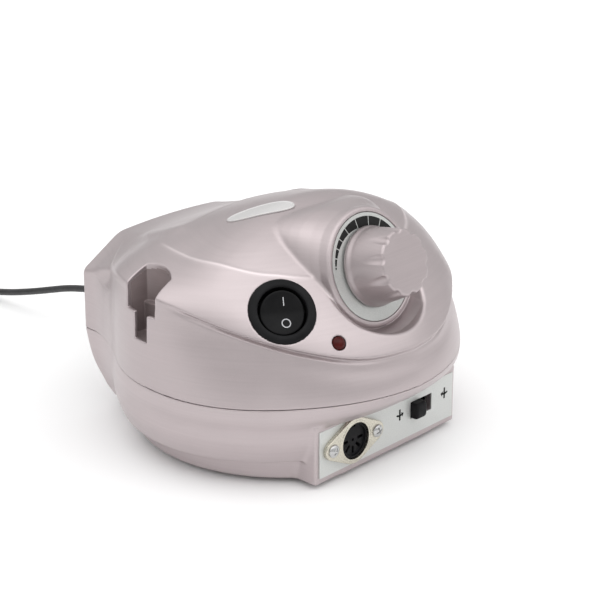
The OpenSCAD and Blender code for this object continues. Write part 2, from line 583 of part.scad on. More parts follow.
// ---------------------------------------------------------------- mains lead
module cord_grommet() {
    color(black) translate([0, rear_y - 8.6, cord_z]) rotate([-90, 0, 0]) difference() {
        union() {
            cylinder(r = 3.1, h = 7.3);
            translate([0, 0, 7.3]) cylinder(r1 = 5, r2 = 4.4, h = 1.3);
            translate([0, 0, 8.6]) cylinder(r1 = 3.4, r2 = 2.1, h = boot_l);
        }
        translate([0, 0, -1]) cylinder(r = cord_r + 0.05, h = boot_l + 12);
    }
}
route = [[0, 52, 25], [0, 59, 25], [0, 66, 25], [0, 76, 25], [0, 86, 25], [0, 96, 24.3], [0, 106, 22.9], [0, 116, 21], [0, 126, 18.6], [0, 136, 15.5], [0, 146, 12.3], [0, 156, 9.3], [0, 166, 6.6], [0.4, 176, 4.3], [1.4, 186, 2.6], [3, 195, 1.7], [5, 203, 1.5], [7, 210, 1.5]];
route_end = [[-4, 236, 9.6], [-12, 236.4, 9.4], [-20, 236.4, 8.8], [-28, 236.4, 7.8], [-36, 236.4, 7.1], [-42, 236.4, 6.9]];
function tdir(r, i) = let (a = r[max(0, i - 1)], b = r[min(len(r) - 1, i + 1)], d = b - a) d / norm(d);
function tring(r, i) = let (d = tdir(r, i), s = cross(d, [0, 0, 1]), u = s / norm(s), v = cross(u, d))
    [for (k = [0:7]) r[i] + cord_r * (cos(45 * k + 22.5) * u + sin(45 * k + 22.5) * v)];
module power_cord() {
    color(black) loft([for (i = [0:len(route) - 1]) tring(route, i)]);
    color(black) loft([for (i = [0:len(route_end) - 1]) tring(route_end, i)]);
}
module cord_coil() {
    color(black) translate([coil_c[0], coil_c[1], 0]) rotate_extrude($fn = 64)
        polygon([[coil_m - 5, 0], [coil_m + 5, 0], [coil_m + 6.4, 1.6], [coil_m + 6.4, 9.6], [coil_m + 5, 11.4], [coil_m - 5, 11.4], [coil_m - 6.4, 9.6], [coil_m - 6.4, 1.6]]);
}
module cord_tie() {
    color([0.75, 0.75, 0.73]) translate([coil_c[0], coil_c[1] - coil_m, 0]) difference() {
        translate([-2.5, -7.4, 0]) cube([5, 15.15, 12.3]);
        translate([-3, -6.6, -1]) cube([6, 13.5, 12.5]);
    }
}
plug_p = [-38, 236.4, 0];
module plug_body() {
    color(black) translate(plug_p) difference() {
        translate([0, 0, 0.3]) linear_extrude(13.1) polygon([[0.2, -4], [0.2, 4], [-5, 5.5], [-12, 9], [-20, 14.6], [-28, 17.6], [-32, 17.6], [-32, -17.6], [-28, -17.6], [-20, -14.6], [-12, -9], [-5, -5.5]]);
        for (s = [-1, 1]) translate([-33, s * 9.5, 6.85]) rotate([0, 90, 0]) cylinder(r = 1.62, h = 9);
    }
}
module plug_pins() {
    color(nickel) translate(plug_p) for (s = [-1, 1]) translate([-51, s * 9.5, 6.85]) rotate([0, 90, 0]) {
        cylinder(r = 2, h = 19);
        translate([0, 0, 19]) cylinder(r = 1.6, h = 7.6);
    }
}

top_shell();
base_shell();
rubber_feet();
case_screws();
front_label();
din_flange();
din_insert();
din_contacts();
din_screws();
din_nuts();
slide_body();
slide_frame();
slide_terminals();
slide_actuator();
dial_plate();
speed_knob();
pot_shaft();
pot_bushing();
pot_washer();
pot_nut();
pot_body();
pot_terminals();
rocker_bezel();
rocker();
rocker_terminals();
lamp_lens();
lamp_leads();
badge_plate();
main_board();
board_screws();
heat_sink();
power_transistor();
bridge_rectifier();
filter_capacitors();
control_chip();
fuse_clips();
fuse();
board_sockets();
transformer_core();
transformer_winding();
transformer_bracket();
transformer_screws();
cord_grommet();
power_cord();
cord_coil();
cord_tie();
plug_body();
plug_pins();
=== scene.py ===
import math

import bmesh
import bpy
import numpy as np
from mathutils import Matrix, Vector


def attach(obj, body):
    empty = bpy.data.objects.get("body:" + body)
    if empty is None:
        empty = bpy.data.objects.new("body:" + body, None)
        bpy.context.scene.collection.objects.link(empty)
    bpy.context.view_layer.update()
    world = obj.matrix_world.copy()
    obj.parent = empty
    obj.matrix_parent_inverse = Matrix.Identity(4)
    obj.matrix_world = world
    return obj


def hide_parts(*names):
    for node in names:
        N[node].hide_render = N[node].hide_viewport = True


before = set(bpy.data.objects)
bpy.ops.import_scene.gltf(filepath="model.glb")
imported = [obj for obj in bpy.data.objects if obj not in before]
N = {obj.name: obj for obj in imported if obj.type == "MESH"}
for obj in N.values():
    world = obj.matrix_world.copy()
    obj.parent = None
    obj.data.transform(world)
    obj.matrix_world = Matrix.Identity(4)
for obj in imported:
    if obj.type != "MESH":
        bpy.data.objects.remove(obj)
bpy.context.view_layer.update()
scene = bpy.context.scene
MM = 0.001


def link(o):
    scene.collection.objects.link(o)
    return o


# ------------------------------------------------------------------ camera
def camera():
    a, e, roll = math.radians(46.43), math.radians(21.04), math.radians(-0.26)
    r = Vector((math.cos(a), -math.sin(a), 0))
    b = Vector((-math.sin(a) * math.cos(e), -math.cos(a) * math.cos(e), math.sin(e)))
    u = b.cross(r)
    r2 = r * math.cos(roll) + u * math.sin(roll)
    u2 = -r * math.sin(roll) + u * math.cos(roll)
    d = bpy.data.cameras.new("cam")
    d.sensor_fit = "HORIZONTAL"
    d.sensor_width = 36
    d.lens = 105
    d.clip_start = 0.02
    d.clip_end = 50
    c = link(bpy.data.objects.new("cam", d))
    m = Matrix(((r2.x, u2.x, b.x, -0.4224), (r2.y, u2.y, b.y, -0.4080), (r2.z, u2.z, b.z, 0.2723), (0, 0, 0, 1)))
    c.matrix_world = m
    scene.camera = c
    return c


camera()


# ------------------------------------------------------------------ materials
def mat(name, color, rough=0.5, metal=0.0, **kw):
    m = bpy.data.materials.new(name)
    m.use_nodes = True
    nt = m.node_tree
    nt.nodes.clear()
    out = nt.nodes.new("ShaderNodeOutputMaterial")
    p = nt.nodes.new("ShaderNodeBsdfPrincipled")
    nt.links.new(p.outputs[0], out.inputs[0])
    p.inputs["Base Color"].default_value = (*color, 1)
    p.inputs["Roughness"].default_value = rough
    p.inputs["Metallic"].default_value = metal
    for k, v in kw.items():
        p.inputs[k.replace("_", " ")].default_value = v
    m["p"] = p.name
    return m


def node(m, kind, **kw):
    n = m.node_tree.nodes.new(kind)
    for k, v in kw.items():
        setattr(n, k, v)
    return n


def lk(m, a, b):
    m.node_tree.links.new(a, b)


def pri(m):
    return m.node_tree.nodes[m["p"]]


def coords(m, scale=(1, 1, 1), rot=(0, 0, 0)):
    tc = node(m, "ShaderNodeTexCoord")
    mp = node(m, "ShaderNodeMapping")
    mp.inputs["Scale"].default_value = scale
    mp.inputs["Rotation"].default_value = rot
    lk(m, tc.outputs["Object"], mp.inputs["Vector"])
    return mp.outputs["Vector"]


def noise(m, scale, detail=4, rough=0.55, vec=None, stretch=(1, 1, 1)):
    n = node(m, "ShaderNodeTexNoise")
    n.inputs["Scale"].default_value = scale
    n.inputs["Detail"].default_value = detail
    n.inputs["Roughness"].default_value = rough
    lk(m, vec if vec is not None else coords(m, stretch), n.inputs["Vector"])
    return n.outputs["Fac"]


def ramp(m, fac, stops):
    r = node(m, "ShaderNodeValToRGB")
    els = r.color_ramp.elements
    while len(els) < len(stops):
        els.new(0.5)
    for e, (pos, c) in zip(els, stops):
        e.position = pos
        e.color = (*c, 1) if len(c) == 3 else c
    lk(m, fac, r.inputs["Fac"])
    return r.outputs["Color"]


def grey(v):
    return (v, v, v)


def vary_color(m, fac, a, b, lo=0.35, hi=0.65):
    lk(m, ramp(m, fac, [(lo, a), (hi, b)]), pri(m).inputs["Base Color"])


def vary_rough(m, fac, a, b, lo=0.3, hi=0.7):
    lk(m, ramp(m, fac, [(lo, grey(a)), (hi, grey(b))]), pri(m).inputs["Roughness"])


def bump(m, fac, strength=0.2, dist=0.0002, prev=None):
    b = node(m, "ShaderNodeBump")
    b.inputs["Strength"].default_value = strength
    b.inputs["Distance"].default_value = dist
    lk(m, fac, b.inputs["Height"])
    if prev is not None:
        lk(m, prev, b.inputs["Normal"])
    lk(m, b.outputs["Normal"], pri(m).inputs["Normal"])
    return b.outputs["Normal"]


def paint(name, a, b, rough=0.38, metal=0.75):
    """Satin metallic paint: fine flake, faint drawn streaks along the wall and a slow mottling."""
    m = mat(name, a, rough, metal)
    pri(m).inputs["Coat Weight"].default_value = 0.12
    pri(m).inputs["Coat Roughness"].default_value = 0.18
    flake = noise(m, 2600, 2, 0.6)
    streak = noise(m, 1.0, 5, 0.6, coords(m, (26, 26, 1300)))
    slow = noise(m, 45, 3)
    mix = node(m, "ShaderNodeMath", operation="MULTIPLY_ADD")
    mix.inputs[1].default_value = 0.35
    lk(m, flake, mix.inputs[0])
    half = node(m, "ShaderNodeMath", operation="MULTIPLY")
    half.inputs[1].default_value = 0.25
    lk(m, slow, half.inputs[0])
    line = node(m, "ShaderNodeMath", operation="MULTIPLY_ADD")
    line.inputs[1].default_value = 0.40
    lk(m, streak, line.inputs[0])
    lk(m, half.outputs[0], line.inputs[2])
    lk(m, line.outputs[0], mix.inputs[2])
    vary_color(m, mix.outputs[0], a, b, 0.32, 0.68)
    vary_rough(m, flake, rough - 0.05, rough + 0.06)
    n = bump(m, flake, 0.06, 0.00004)
    bump(m, streak, 0.07, 0.00006, n)
    return m


def plastic(name, a, b, rough=0.45, grain=900, depth=0.25):
    m = mat(name, a, rough)
    f = noise(m, grain, 3)
    vary_color(m, noise(m, 120, 4), a, b)
    vary_rough(m, f, rough - 0.07, rough + 0.08)
    bump(m, f, depth, 0.00006)
    return m


def metal(name, a, b, rough=0.3, stretch=(1, 1, 1), scale=300):
    m = mat(name, a, rough, 1.0)
    f = noise(m, scale, 4, 0.6, coords(m, stretch))
    vary_color(m, f, a, b)
    vary_rough(m, f, rough - 0.08, rough + 0.1)
    bump(m, f, 0.12, 0.00004)
    return m


M_SHELL = paint("rose_paint", (0.445, 0.390, 0.396), (0.50, 0.440, 0.446))


def paint_edge_highlight(m, light):
    """Painted highlight: the base colour is lightened towards a pale tint along the creases, standing in for the light
    caught by the edges; the mesh's own "crease" values say where.
    """
    at = node(m, "ShaderNodeAttribute", attribute_name="crease")
    base = pri(m).inputs["Base Color"].links[0].from_socket
    mx = node(m, "ShaderNodeMix", data_type="RGBA")
    lk(m, at.outputs["Fac"], mx.inputs["Factor"])
    lk(m, base, mx.inputs[6])
    mx.inputs[7].default_value = (*light, 1)
    lk(m, mx.outputs[2], pri(m).inputs["Base Color"])


# painted highlight: the upper shell turns this pale tint along the crease above the band and along the bay's rim
paint_edge_highlight(M_SHELL, (0.70, 0.625, 0.632))
# painted light: the lower housing takes the shell's paint about 7% lighter, standing in for light thrown up from the
# white floor
M_BASE_LIT = paint("rose_paint_lower_lit", (0.476, 0.417, 0.424), (0.535, 0.471, 0.477))
# painted shade: a darker, rougher, less metallic copy of the rose paint for the deep walls of the slots, where shade
# falls
M_SLOT_SHADE = paint("slot_painted_shade", (0.26, 0.212, 0.212), (0.31, 0.254, 0.254), 0.5, 0.35)
M_KNOB = paint("rose_knob", (0.415, 0.363, 0.369), (0.468, 0.411, 0.417))
M_BLACK = plastic("black_plastic", (0.006, 0.006, 0.0065), (0.011, 0.011, 0.012), 0.40)
M_BEZEL = plastic("black_bezel", (0.007, 0.007, 0.0075), (0.012, 0.012, 0.013), 0.38, 1400, 0.12)
M_ROCKER = plastic("black_rocker", (0.005, 0.005, 0.0055), (0.009, 0.009, 0.0095), 0.34, 1400, 0.08)
M_RUBBER = plastic("rubber", (0.015, 0.015, 0.015), (0.03, 0.03, 0.03), 0.65, 700)
M_CORD = plastic("cord_jacket", (0.012, 0.012, 0.013), (0.022, 0.022, 0.023), 0.45, 600, 0.15)
M_MARK = plastic("white_mark", (0.44, 0.44, 0.46), (0.54, 0.54, 0.56), 0.5)
M_INK = plastic("black_ink", (0.012, 0.012, 0.012), (0.022, 0.022, 0.022), 0.5)
for m_ in (M_BLACK, M_BEZEL, M_ROCKER, M_INK):
    pri(m_).inputs["Specular IOR Level"].default_value = 0.1
M_LABEL = metal("label_foil", (0.56, 0.57, 0.555), (0.64, 0.65, 0.635), 0.42, (1, 1, 1), 2600)
pri(M_LABEL).inputs["Metallic"].default_value = 0.35
M_DIAL = metal("dial_foil", (0.52, 0.53, 0.515), (0.60, 0.61, 0.595), 0.36, (1, 1, 1), 2600)
pri(M_DIAL).inputs["Metallic"].default_value = 0.5
M_BADGE = metal("badge_foil", (0.63, 0.62, 0.615), (0.68, 0.67, 0.665), 0.36, (1, 1, 1), 2600)
pri(M_BADGE).inputs["Metallic"].default_value = 0.45
M_STEEL = metal("zinc_steel", (0.50, 0.50, 0.50), (0.62, 0.62, 0.62), 0.28)
M_NICKEL = metal("dull_nickel", (0.57, 0.54, 0.46), (0.65, 0.62, 0.53), 0.26, (1, 1, 1), 1500)
M_FINS = metal("alu_fins", (0.55, 0.56, 0.58), (0.65, 0.66, 0.68), 0.4, (1, 1, 20), 200)
M_CORE = metal("laminations", (0.10, 0.095, 0.09), (0.16, 0.15, 0.145), 0.5, (1, 900, 1), 1.0)
M_BOARD = plastic("board_mask", (0.02, 0.11, 0.05), (0.03, 0.15, 0.07), 0.4, 500)
M_CAP = plastic("cap_sleeve", (0.01, 0.015, 0.06), (0.02, 0.025, 0.09), 0.35)
M_NYLON = plastic("nylon", (0.72, 0.70, 0.62), (0.80, 0.78, 0.70), 0.5)
M_WIND = plastic("winding_tape", (0.42, 0.20, 0.04), (0.52, 0.27, 0.06), 0.35)
M_TIE = plastic("tie_plastic", (0.5, 0.5, 0.48), (0.6, 0.6, 0.58), 0.5)


def lens_mat():
    m = mat("red_lens", (0.06, 0.005, 0.004), 0.16)
    vary_color(m, noise(m, 500, 3), (0.048, 0.004, 0.0035), (0.075, 0.006, 0.005))
    pri(m).inputs["Specular IOR Level"].default_value = 0.15
    pri(m).inputs["Coat Weight"].default_value = 0.06
    pri(m).inputs["Coat Roughness"].default_value = 0.05
    vary_rough(m, noise(m, 900, 2), 0.12, 0.22)
    return m


M_LENS = lens_mat()


def glass_mat():
    m = mat("fuse_glass", (0.7, 0.72, 0.71), 0.1)
    vary_color(m, noise(m, 400, 3), (0.62, 0.65, 0.64), (0.75, 0.77, 0.76))
    pri(m).inputs["Transmission Weight"].default_value = 0.6
    vary_rough(m, noise(m, 700, 2), 0.06, 0.16)
    return m


M_GLASS = glass_mat()


# ------------------------------------------------------------------ shape of the housing (mm)
Y0, WALL, PZ, GAP = 1.5, 2.4, 31.6, 0.2
TILT = math.radians(19.5)
DIAL = np.array((0.0, -39.45, 68.95))
ROCK_P, ROCK_N = np.array((-38.1, -34.4, 62.0)), np.array((-0.41, -0.66, 0.64))
LAMP_P, LAMP_N = np.array((-26.6, -49.1, 51.5)), np.array((-0.31, -0.77, 0.56))
BADGE_P, BADGE_N, BADGE_TURN = np.array((-16.4, -3.2, 84.65)), np.array((-0.20, 0.06, 0.975)), -26.5
POSTS = [(40, -24), (-40, -24), (40, 20), (-40, 20)]
FEET = [(28, -38), (-28, -38), (26, 40), (-26, 40)]
BOARD_HOLES = [(30, -26), (-30, -26), (30, 6), (-30, 6)]
DIN_X, DIN_Z, DIN_S, SLIDE_X, SLIDE_Z = -18.9, 13.5, 11.1, 17.6, 13.9

K_RP = [(0, 64), (15, 63.5), (30, 63.3), (40, 63.5), (50, 64.3), (60, 65.2), (72, 65.7), (80, 65.5), (90, 64.8), (100, 64.2), (110, 63.2), (120, 62.2), (132, 61.5), (180, 61)]
K_R1 = [(0, 60.9), (20, 60.3), (40, 60.3), (50, 60.9), (60, 60.7), (70, 61), (80, 62.1), (88, 63.6), (95, 64.2), (110, 63), (130, 60.5), (180, 59)]
K_Z1 = [(0, 45), (20, 45.8), (41, 51), (50, 53.85), (60, 56.7), (75, 61.15), (88, 65.3), (100, 67), (112, 66.5), (125, 63.5), (140, 58), (180, 54)]
K_R2 = [(0, 41.2), (30, 41.5), (48, 43.4), (56, 44.95), (65, 46.4), (72, 46.85), (80, 46.6), (90, 45.7), (97, 45.2), (116, 45.6), (130, 48), (180, 50)]
K_ZR = [(-46, 63.5), (-40, 68), (-34, 72.4), (-27.5, 77.5), (-22, 81.5), (-17, 84.8), (-12, 86.9), (-6, 87.2), (4, 84.85), (14, 81.95), (24, 78.5), (34, 74.1), (45, 69.5), (56, 66.1), (64, 64.2)]
K_KX = [(-48, 0.0075), (-40, 0.0075), (-28, 0.006), (-8, 0.006), (2, 0.0054), (14, 0.0042), (26, 0.0031), (46, 0.0019), (64, 0.0016)]
K_LIP = [(0, 0.35), (14, 0.7), (26, 1.3), (38, 1.7), (60, 1.7), (74, 1.0), (86, 0.0), (180, 0.0)]
FULL = 5.2
K_RIDGE = [(0, 0.1), (40, 0.18), (80, 0.22), (104, 0.18), (122, 0.0), (180, 0.0)]


def cub(x, K):
    K = np.asarray(K, float)
    xs, ys = K[:, 0], K[:, 1]
    n = len(xs)
    lo, hi = np.maximum(np.arange(n) - 1, 0), np.minimum(np.arange(n) + 1, n - 1)
    s = (ys[hi] - ys[lo]) / (xs[hi] - xs[lo])
    i = np.clip(np.searchsorted(xs, x, side="right") - 1, 0, n - 2)
    h = xs[i + 1] - xs[i]
    t = np.clip((x - xs[i]) / h, 0, 1)
    t2, t3 = t * t, t * t * t
    return ys[i] * (2 * t3 - 3 * t2 + 1) + s[i] * h * (t3 - 2 * t2 + t) + ys[i + 1] * (3 * t2 - 2 * t3) + s[i + 1] * h * (t3 - t2)


def hood(x, y):
    return cub(y, K_ZR) - cub(y, K_KX) * x * x


def smin(a, b, k):
    h = np.maximum(k - np.abs(a - b), 0.0) / k
    return np.minimum(a, b) - h * h * k * 0.25


def smax(a, b, k):
    return -smin(-a, -b, k)


def step01(x, a, b):
    t = np.clip((x - a) / (b - a), 0, 1)
    return t * t * (3 - 2 * t)


class Grid:
    """The plan-view quantities of the housing on one grid."""

    def __init__(self, lo, hi, h):
        self.h = h
        self.n = [int(math.ceil((hi[k] - lo[k]) / h)) + 1 for k in range(3)]
        self.lo = np.array(lo, float)
        ax = [lo[k] + h * np.arange(self.n[k]) for k in range(3)]
        self.x = ax[0][:, None, None].astype(np.float32)
        self.y = ax[1][None, :, None].astype(np.float32)
        self.zs = ax[2].astype(np.float32)
        X, Y = np.meshgrid(ax[0], ax[1], indexing="ij")
        rho = np.hypot(X, Y - Y0)
        th = np.degrees(np.arctan2(np.abs(X), -(Y - Y0)))
        f = lambda v: np.asarray(v, np.float32)[:, :, None]
        rp, r1, z1, r2 = cub(th, K_RP), cub(th, K_R1), cub(th, K_Z1), cub(th, K_R2)
        c = np.cos(np.radians(th))
        cp, cn = np.maximum(c, 0), np.maximum(-c, 0)
        self.rho, self.rp, self.r1, self.z1 = f(rho), f(rp), f(r1), f(z1)
        self.lip = f(cub(th, K_LIP))
        # band and hood as one height over the plan
        s, co = np.sin(np.radians(th)), c
        z2 = hood(r2 * s, Y0 - r2 * co)
        # the band is fullest near its lower edge and straight where it meets the hood at a crease
        t = (r1 - rho) / (r1 - r2)
        for _ in range(6):
            slope = r2 - r1 + FULL * (1 - 3.6 * t + 2.4 * t * t)
            t = t - (r1 + (r2 - r1) * t + FULL * t * (1 - t) * (1 - 0.8 * t) - rho) / np.minimum(slope, -3)
            t = np.clip(t, -0.6, 1.3)
        band = z1 * (1 - t) + z2 * t + 0.6 * FULL * t * (1 - t) * (1 - 0.8 * t)
        hd = hood(X, Y)
        top = np.where(rho > r2, band, hd)
        top = top + cub(th, K_RIDGE) * np.exp(-(((rho - r2) / 0.62) ** 2))
        gx, gy = np.gradient(top, h)
        self.top, self.gtop = f(top), f(np.sqrt(1 + np.clip(gx * gx + gy * gy, 0, 6)))
        # rear block
        ry = [22, 35, 44, 49, 56, 62.7]
        yy = np.clip(Y, 22, 62.7)
        w = cub(yy, list(zip(ry, [46, 46, 45.5, 44.5, 43.3, 43])))
        zw = cub(yy, list(zip(ry, [60, 60, 59.5, 58, 55.5, 54])))
        xt = cub(yy, list(zip(ry, [31, 30, 29.5, 28.5, 26.5, 25])))
        up = 0.9 * (np.maximum(yy - 26, 0) / 36.7) ** 2
        zt = hood(xt, yy) + up
        btop = hood(X, yy) + up
        gx, gy = np.gradient(btop, h)
        self.bw, self.bzw, self.btop = f(w), f(zw), f(btop)
        self.bg = f(np.sqrt(1 + np.clip(gx * gx + gy * gy, 0, 4)))
        L = np.hypot(zt - zw, w - xt)
        self.ca, self.cb = f((zt - zw) / L), f((w - xt) / L)
        self.kk = f(step01(np.abs(X), 22, 34))
        # base rings
        rt = 61 - np.where(th < 90, 5.5, 3.0) * c * c
        ro = 64 - 8.5 * cp ** 4 - 4 * cn ** 2
        r17 = rt * 0.45 + ro * 0.55 + 0.8
        r27 = ro * 0.45 + rp * 0.55 + 0.6 - 0.6 * cn ** 2
        zk = np.array([10, 17, 22.6, 27, 31.6])
        rk = np.stack([rt, r17, ro, r27, rp], -1)
        # smooth curve through the five radii at each plan point, tabulated over z
        sl = np.empty_like(rk)
        for i in range(5):
            a_, b_ = max(0, i - 1), min(4, i + 1)
            sl[..., i] = (rk[..., b_] - rk[..., a_]) / (zk[b_] - zk[a_])
        self.rk, self.sl, self.zk = rk.astype(np.float32), sl.astype(np.float32), zk

    def base_r(self, z):
        i = int(np.clip(np.searchsorted(self.zk, z, side="right") - 1, 0, 3))
        hh = self.zk[i + 1] - self.zk[i]
        t = min(max((z - self.zk[i]) / hh, 0), 1)
        t2, t3 = t * t, t * t * t
        r = self.rk[..., i] * (2 * t3 - 3 * t2 + 1) + self.sl[..., i] * hh * (t3 - 2 * t2 + t) + self.rk[..., i + 1] * (3 * t2 - 2 * t3) + self.sl[..., i + 1] * hh * (t3 - t2)
        return r

    def local(self, p, n, z):
        """Coordinates in a frame at p with +Z along n and +X down the slope."""
        n = n / np.linalg.norm(n)
        psi = math.atan2(n[1], n[0])
        ex = np.array((math.cos(psi) * n[2], math.sin(psi) * n[2], -math.hypot(n[0], n[1])))
        ey = np.array((-math.sin(psi), math.cos(psi), 0))
        dx, dy, dz = self.x - p[0], self.y - p[1], z - p[2]
        return [(dx * v[0] + dy * v[1] + dz * v[2]).astype(np.float32) for v in (ex, ey, n)]

    def dial(self, z):
        dy, dz = self.y - DIAL[1], z - DIAL[2]
        c, s = math.cos(TILT), math.sin(TILT)
        return self.x + 0 * dz, (dy * s + dz * c + 0 * self.x).astype(np.float32), (-dy * c + dz * s + 0 * self.x).astype(np.float32)


def box_f(gx, gy, gz, lo, hi):
    return np.maximum(np.maximum(np.maximum(lo[0] - gx, gx - hi[0]), np.maximum(lo[1] - gy, gy - hi[1])), np.maximum(lo[2] - gz, gz - hi[2]))


T_H = np.array([-24, -18, -15, -12, -9, -6, -3, 0.8])
T_R = np.array([25.2, 25.2, 24.9, 24.4, 23.6, 22.3, 21.2, 20.6])
T_E = np.array([5, 5, 4.4, 3.8, 3.2, 2.6, 2.2, 2.0])


def turret_f(u, v, h, inset=0.0):
    hc = np.clip(h, -24, 0.8)
    r = np.interp(hc, T_H, T_R).astype(np.float32) - inset
    e = np.interp(hc, T_H, T_E).astype(np.float32)
    sv = 1 + 0.0022 * np.minimum(hc, 0)
    a, b = np.abs(u) + 1e-4, np.abs(v / sv) + 1e-4
    m = np.maximum(a, b)
    q = m * ((a / m) ** e + (b / m) ** e) ** (1 / e)
    return (q - r) * 0.93


def wall_f(g, z):
    """Distance outside the round upper wall, with the undercut below the band's edge."""
    d = g.z1 - z
    t = np.maximum((z - PZ) / (g.z1 - 3.6 - PZ), 0)
    line = g.rp * (1 - t) + (g.r1 - g.lip) * t + 2.9 * t * (1 - t)
    r = smax(line, g.r1 - g.lip + 0 * z, 1.6) + g.lip * np.clip(1 - d / 0.9, 0, 1) ** 0.8
    r = r - 0.6 * g.lip * np.exp(-(((d - 1.5) / 0.75) ** 2))
    return (g.rho - r) * 0.95


def body_top(g, z):
    w = wall_f(g, z)
    t = (z - g.top) / g.gtop
    return smax(w, t, 0.35)


def block_top(g, z):
    ax = np.abs(g.x)
    side = ax - g.bw + 0.3 * np.clip((z - PZ) / 25, 0, 1) + 0 * g.y
    ch = (ax - g.bw) * g.ca + (z - g.bzw) * g.cb
    tp = (z - g.btop) / g.bg
    f = smax(side, ch, 1.6)
    f = smax(f, tp, 1.3)
    f = smax(f, g.y - 62.7 + 0 * ax, 1.4)
    return np.maximum(f, 14 - g.y)


def slots_f(g, z, grow=0.0):
    """T-shaped openings in the thin wall with one hollow behind each."""
    ax, ay = np.abs(g.x), np.abs(g.y - 6.9)
    arc = np.sqrt((ax - 64.5) ** 2 + (g.y - 8.3) ** 2) - 12.0 - grow
    wide = np.maximum(np.maximum(arc, ay - 7.3 - grow), 58 - grow - z)
    thin = np.maximum(np.maximum(57.5 - grow - ax, np.abs(g.y - 6.3) - 3.2 - grow), 48.5 - grow - z)
    hollow = np.maximum(np.maximum(55.5 - grow - ax, ay - 7.3 - grow), np.maximum(47.6 - grow - z, wall_f(g, z) + 1.5 - grow))
    return np.minimum(np.minimum(wide, thin), np.maximum(hollow, z - 60))


def top_field(g, z):
    z = np.asarray(z, np.float32)[None, None, :]
    body, block = body_top(g, z), block_top(g, z)
    base = smin(body, block, 0.5 + g.kk * (9.0 - 6.0 * step01(z, 55, 66)))
    u, v, h = g.dial(z)
    rad = np.sqrt(u * u + v * v)
    bay = np.maximum(smax((rad - 20.2 - 0.37 * np.clip(h + 4.4, 0, 9)) * 0.92, np.abs(u) - 21.8, 2.0), -(h + 4.4))
    f = smax(base, -bay, 1.1)
    tur = smax(turret_f(u, v, h), h - 0.8, 1.0)
    f = smin(f, np.maximum(tur, -(h + 23)), 0.9)
    # cavity
    cav = base + WALL
    keep = np.minimum(np.maximum(rad - 25.8, -(h + 7.4)), slots_f(g, z, 2.0))
    lx, ly, lz = g.local(ROCK_P, ROCK_N, z)
    lr = np.sqrt(lx * lx + ly * ly)
    keep = np.minimum(keep, np.maximum(lr - 12.6, np.maximum(-4 - lz, lz - 2)))
    for px, py in POSTS:
        dx, dy = g.x - px, g.y - py
        ang = math.atan2(py - Y0, px)
        al, ac = dx * math.cos(ang) + dy * math.sin(ang), np.abs(-dx * math.sin(ang) + dy * math.cos(ang))
        rib = np.maximum(np.maximum(-al, ac - 1.2), al - 20)
        keep = np.minimum(keep, np.maximum(np.minimum(np.sqrt(dx * dx + dy * dy) - 4.2, rib), z - 42))
    cav = np.maximum(cav, -keep)
    cav = np.minimum(cav, np.maximum(turret_f(u, v, h, WALL), np.maximum(h + 1.8, -(h + 23.5))))
    f = np.maximum(f, -cav)
    # openings
    f = smax(f, -slots_f(g, z), 0.35)
    f = smax(f, -np.maximum(rad - 18.8, -h), 0.25)
    f = np.maximum(f, -np.maximum(rad - 3.6, -(h + 4)))
    f = np.maximum(f, -np.maximum(lr - 11.4, -(lz + 1.2)))
    f = np.maximum(f, -np.maximum(lr - 10.0, -(lz + 9)))
    mx, my, mz = g.local(LAMP_P, LAMP_N, z)
    f = np.maximum(f, -np.maximum(np.sqrt(mx * mx + my * my) - 2.5, -(mz + 9)))
    bx, by, bz = g.local(BADGE_P, BADGE_N, z)
    ca, sa = math.cos(math.radians(BADGE_TURN)), math.sin(math.radians(BADGE_TURN))
    ex, ey = bx * ca + by * sa, -bx * sa + by * ca
    el = (np.sqrt((ex / 12.3) ** 2 + (ey / 5.3) ** 2) - 1) * 5.3
    f = smax(f, -np.maximum(np.maximum(el, g.top - 0.3 - z), -3 - bz), 0.2)
    for px, py in POSTS:
        d = np.sqrt((g.x - px) ** 2 + (g.y - py) ** 2)
        f = np.maximum(f, -np.maximum(d - 1.6, z - 40.5))
    return smax(f, PZ + GAP / 2 - z, 0.12)


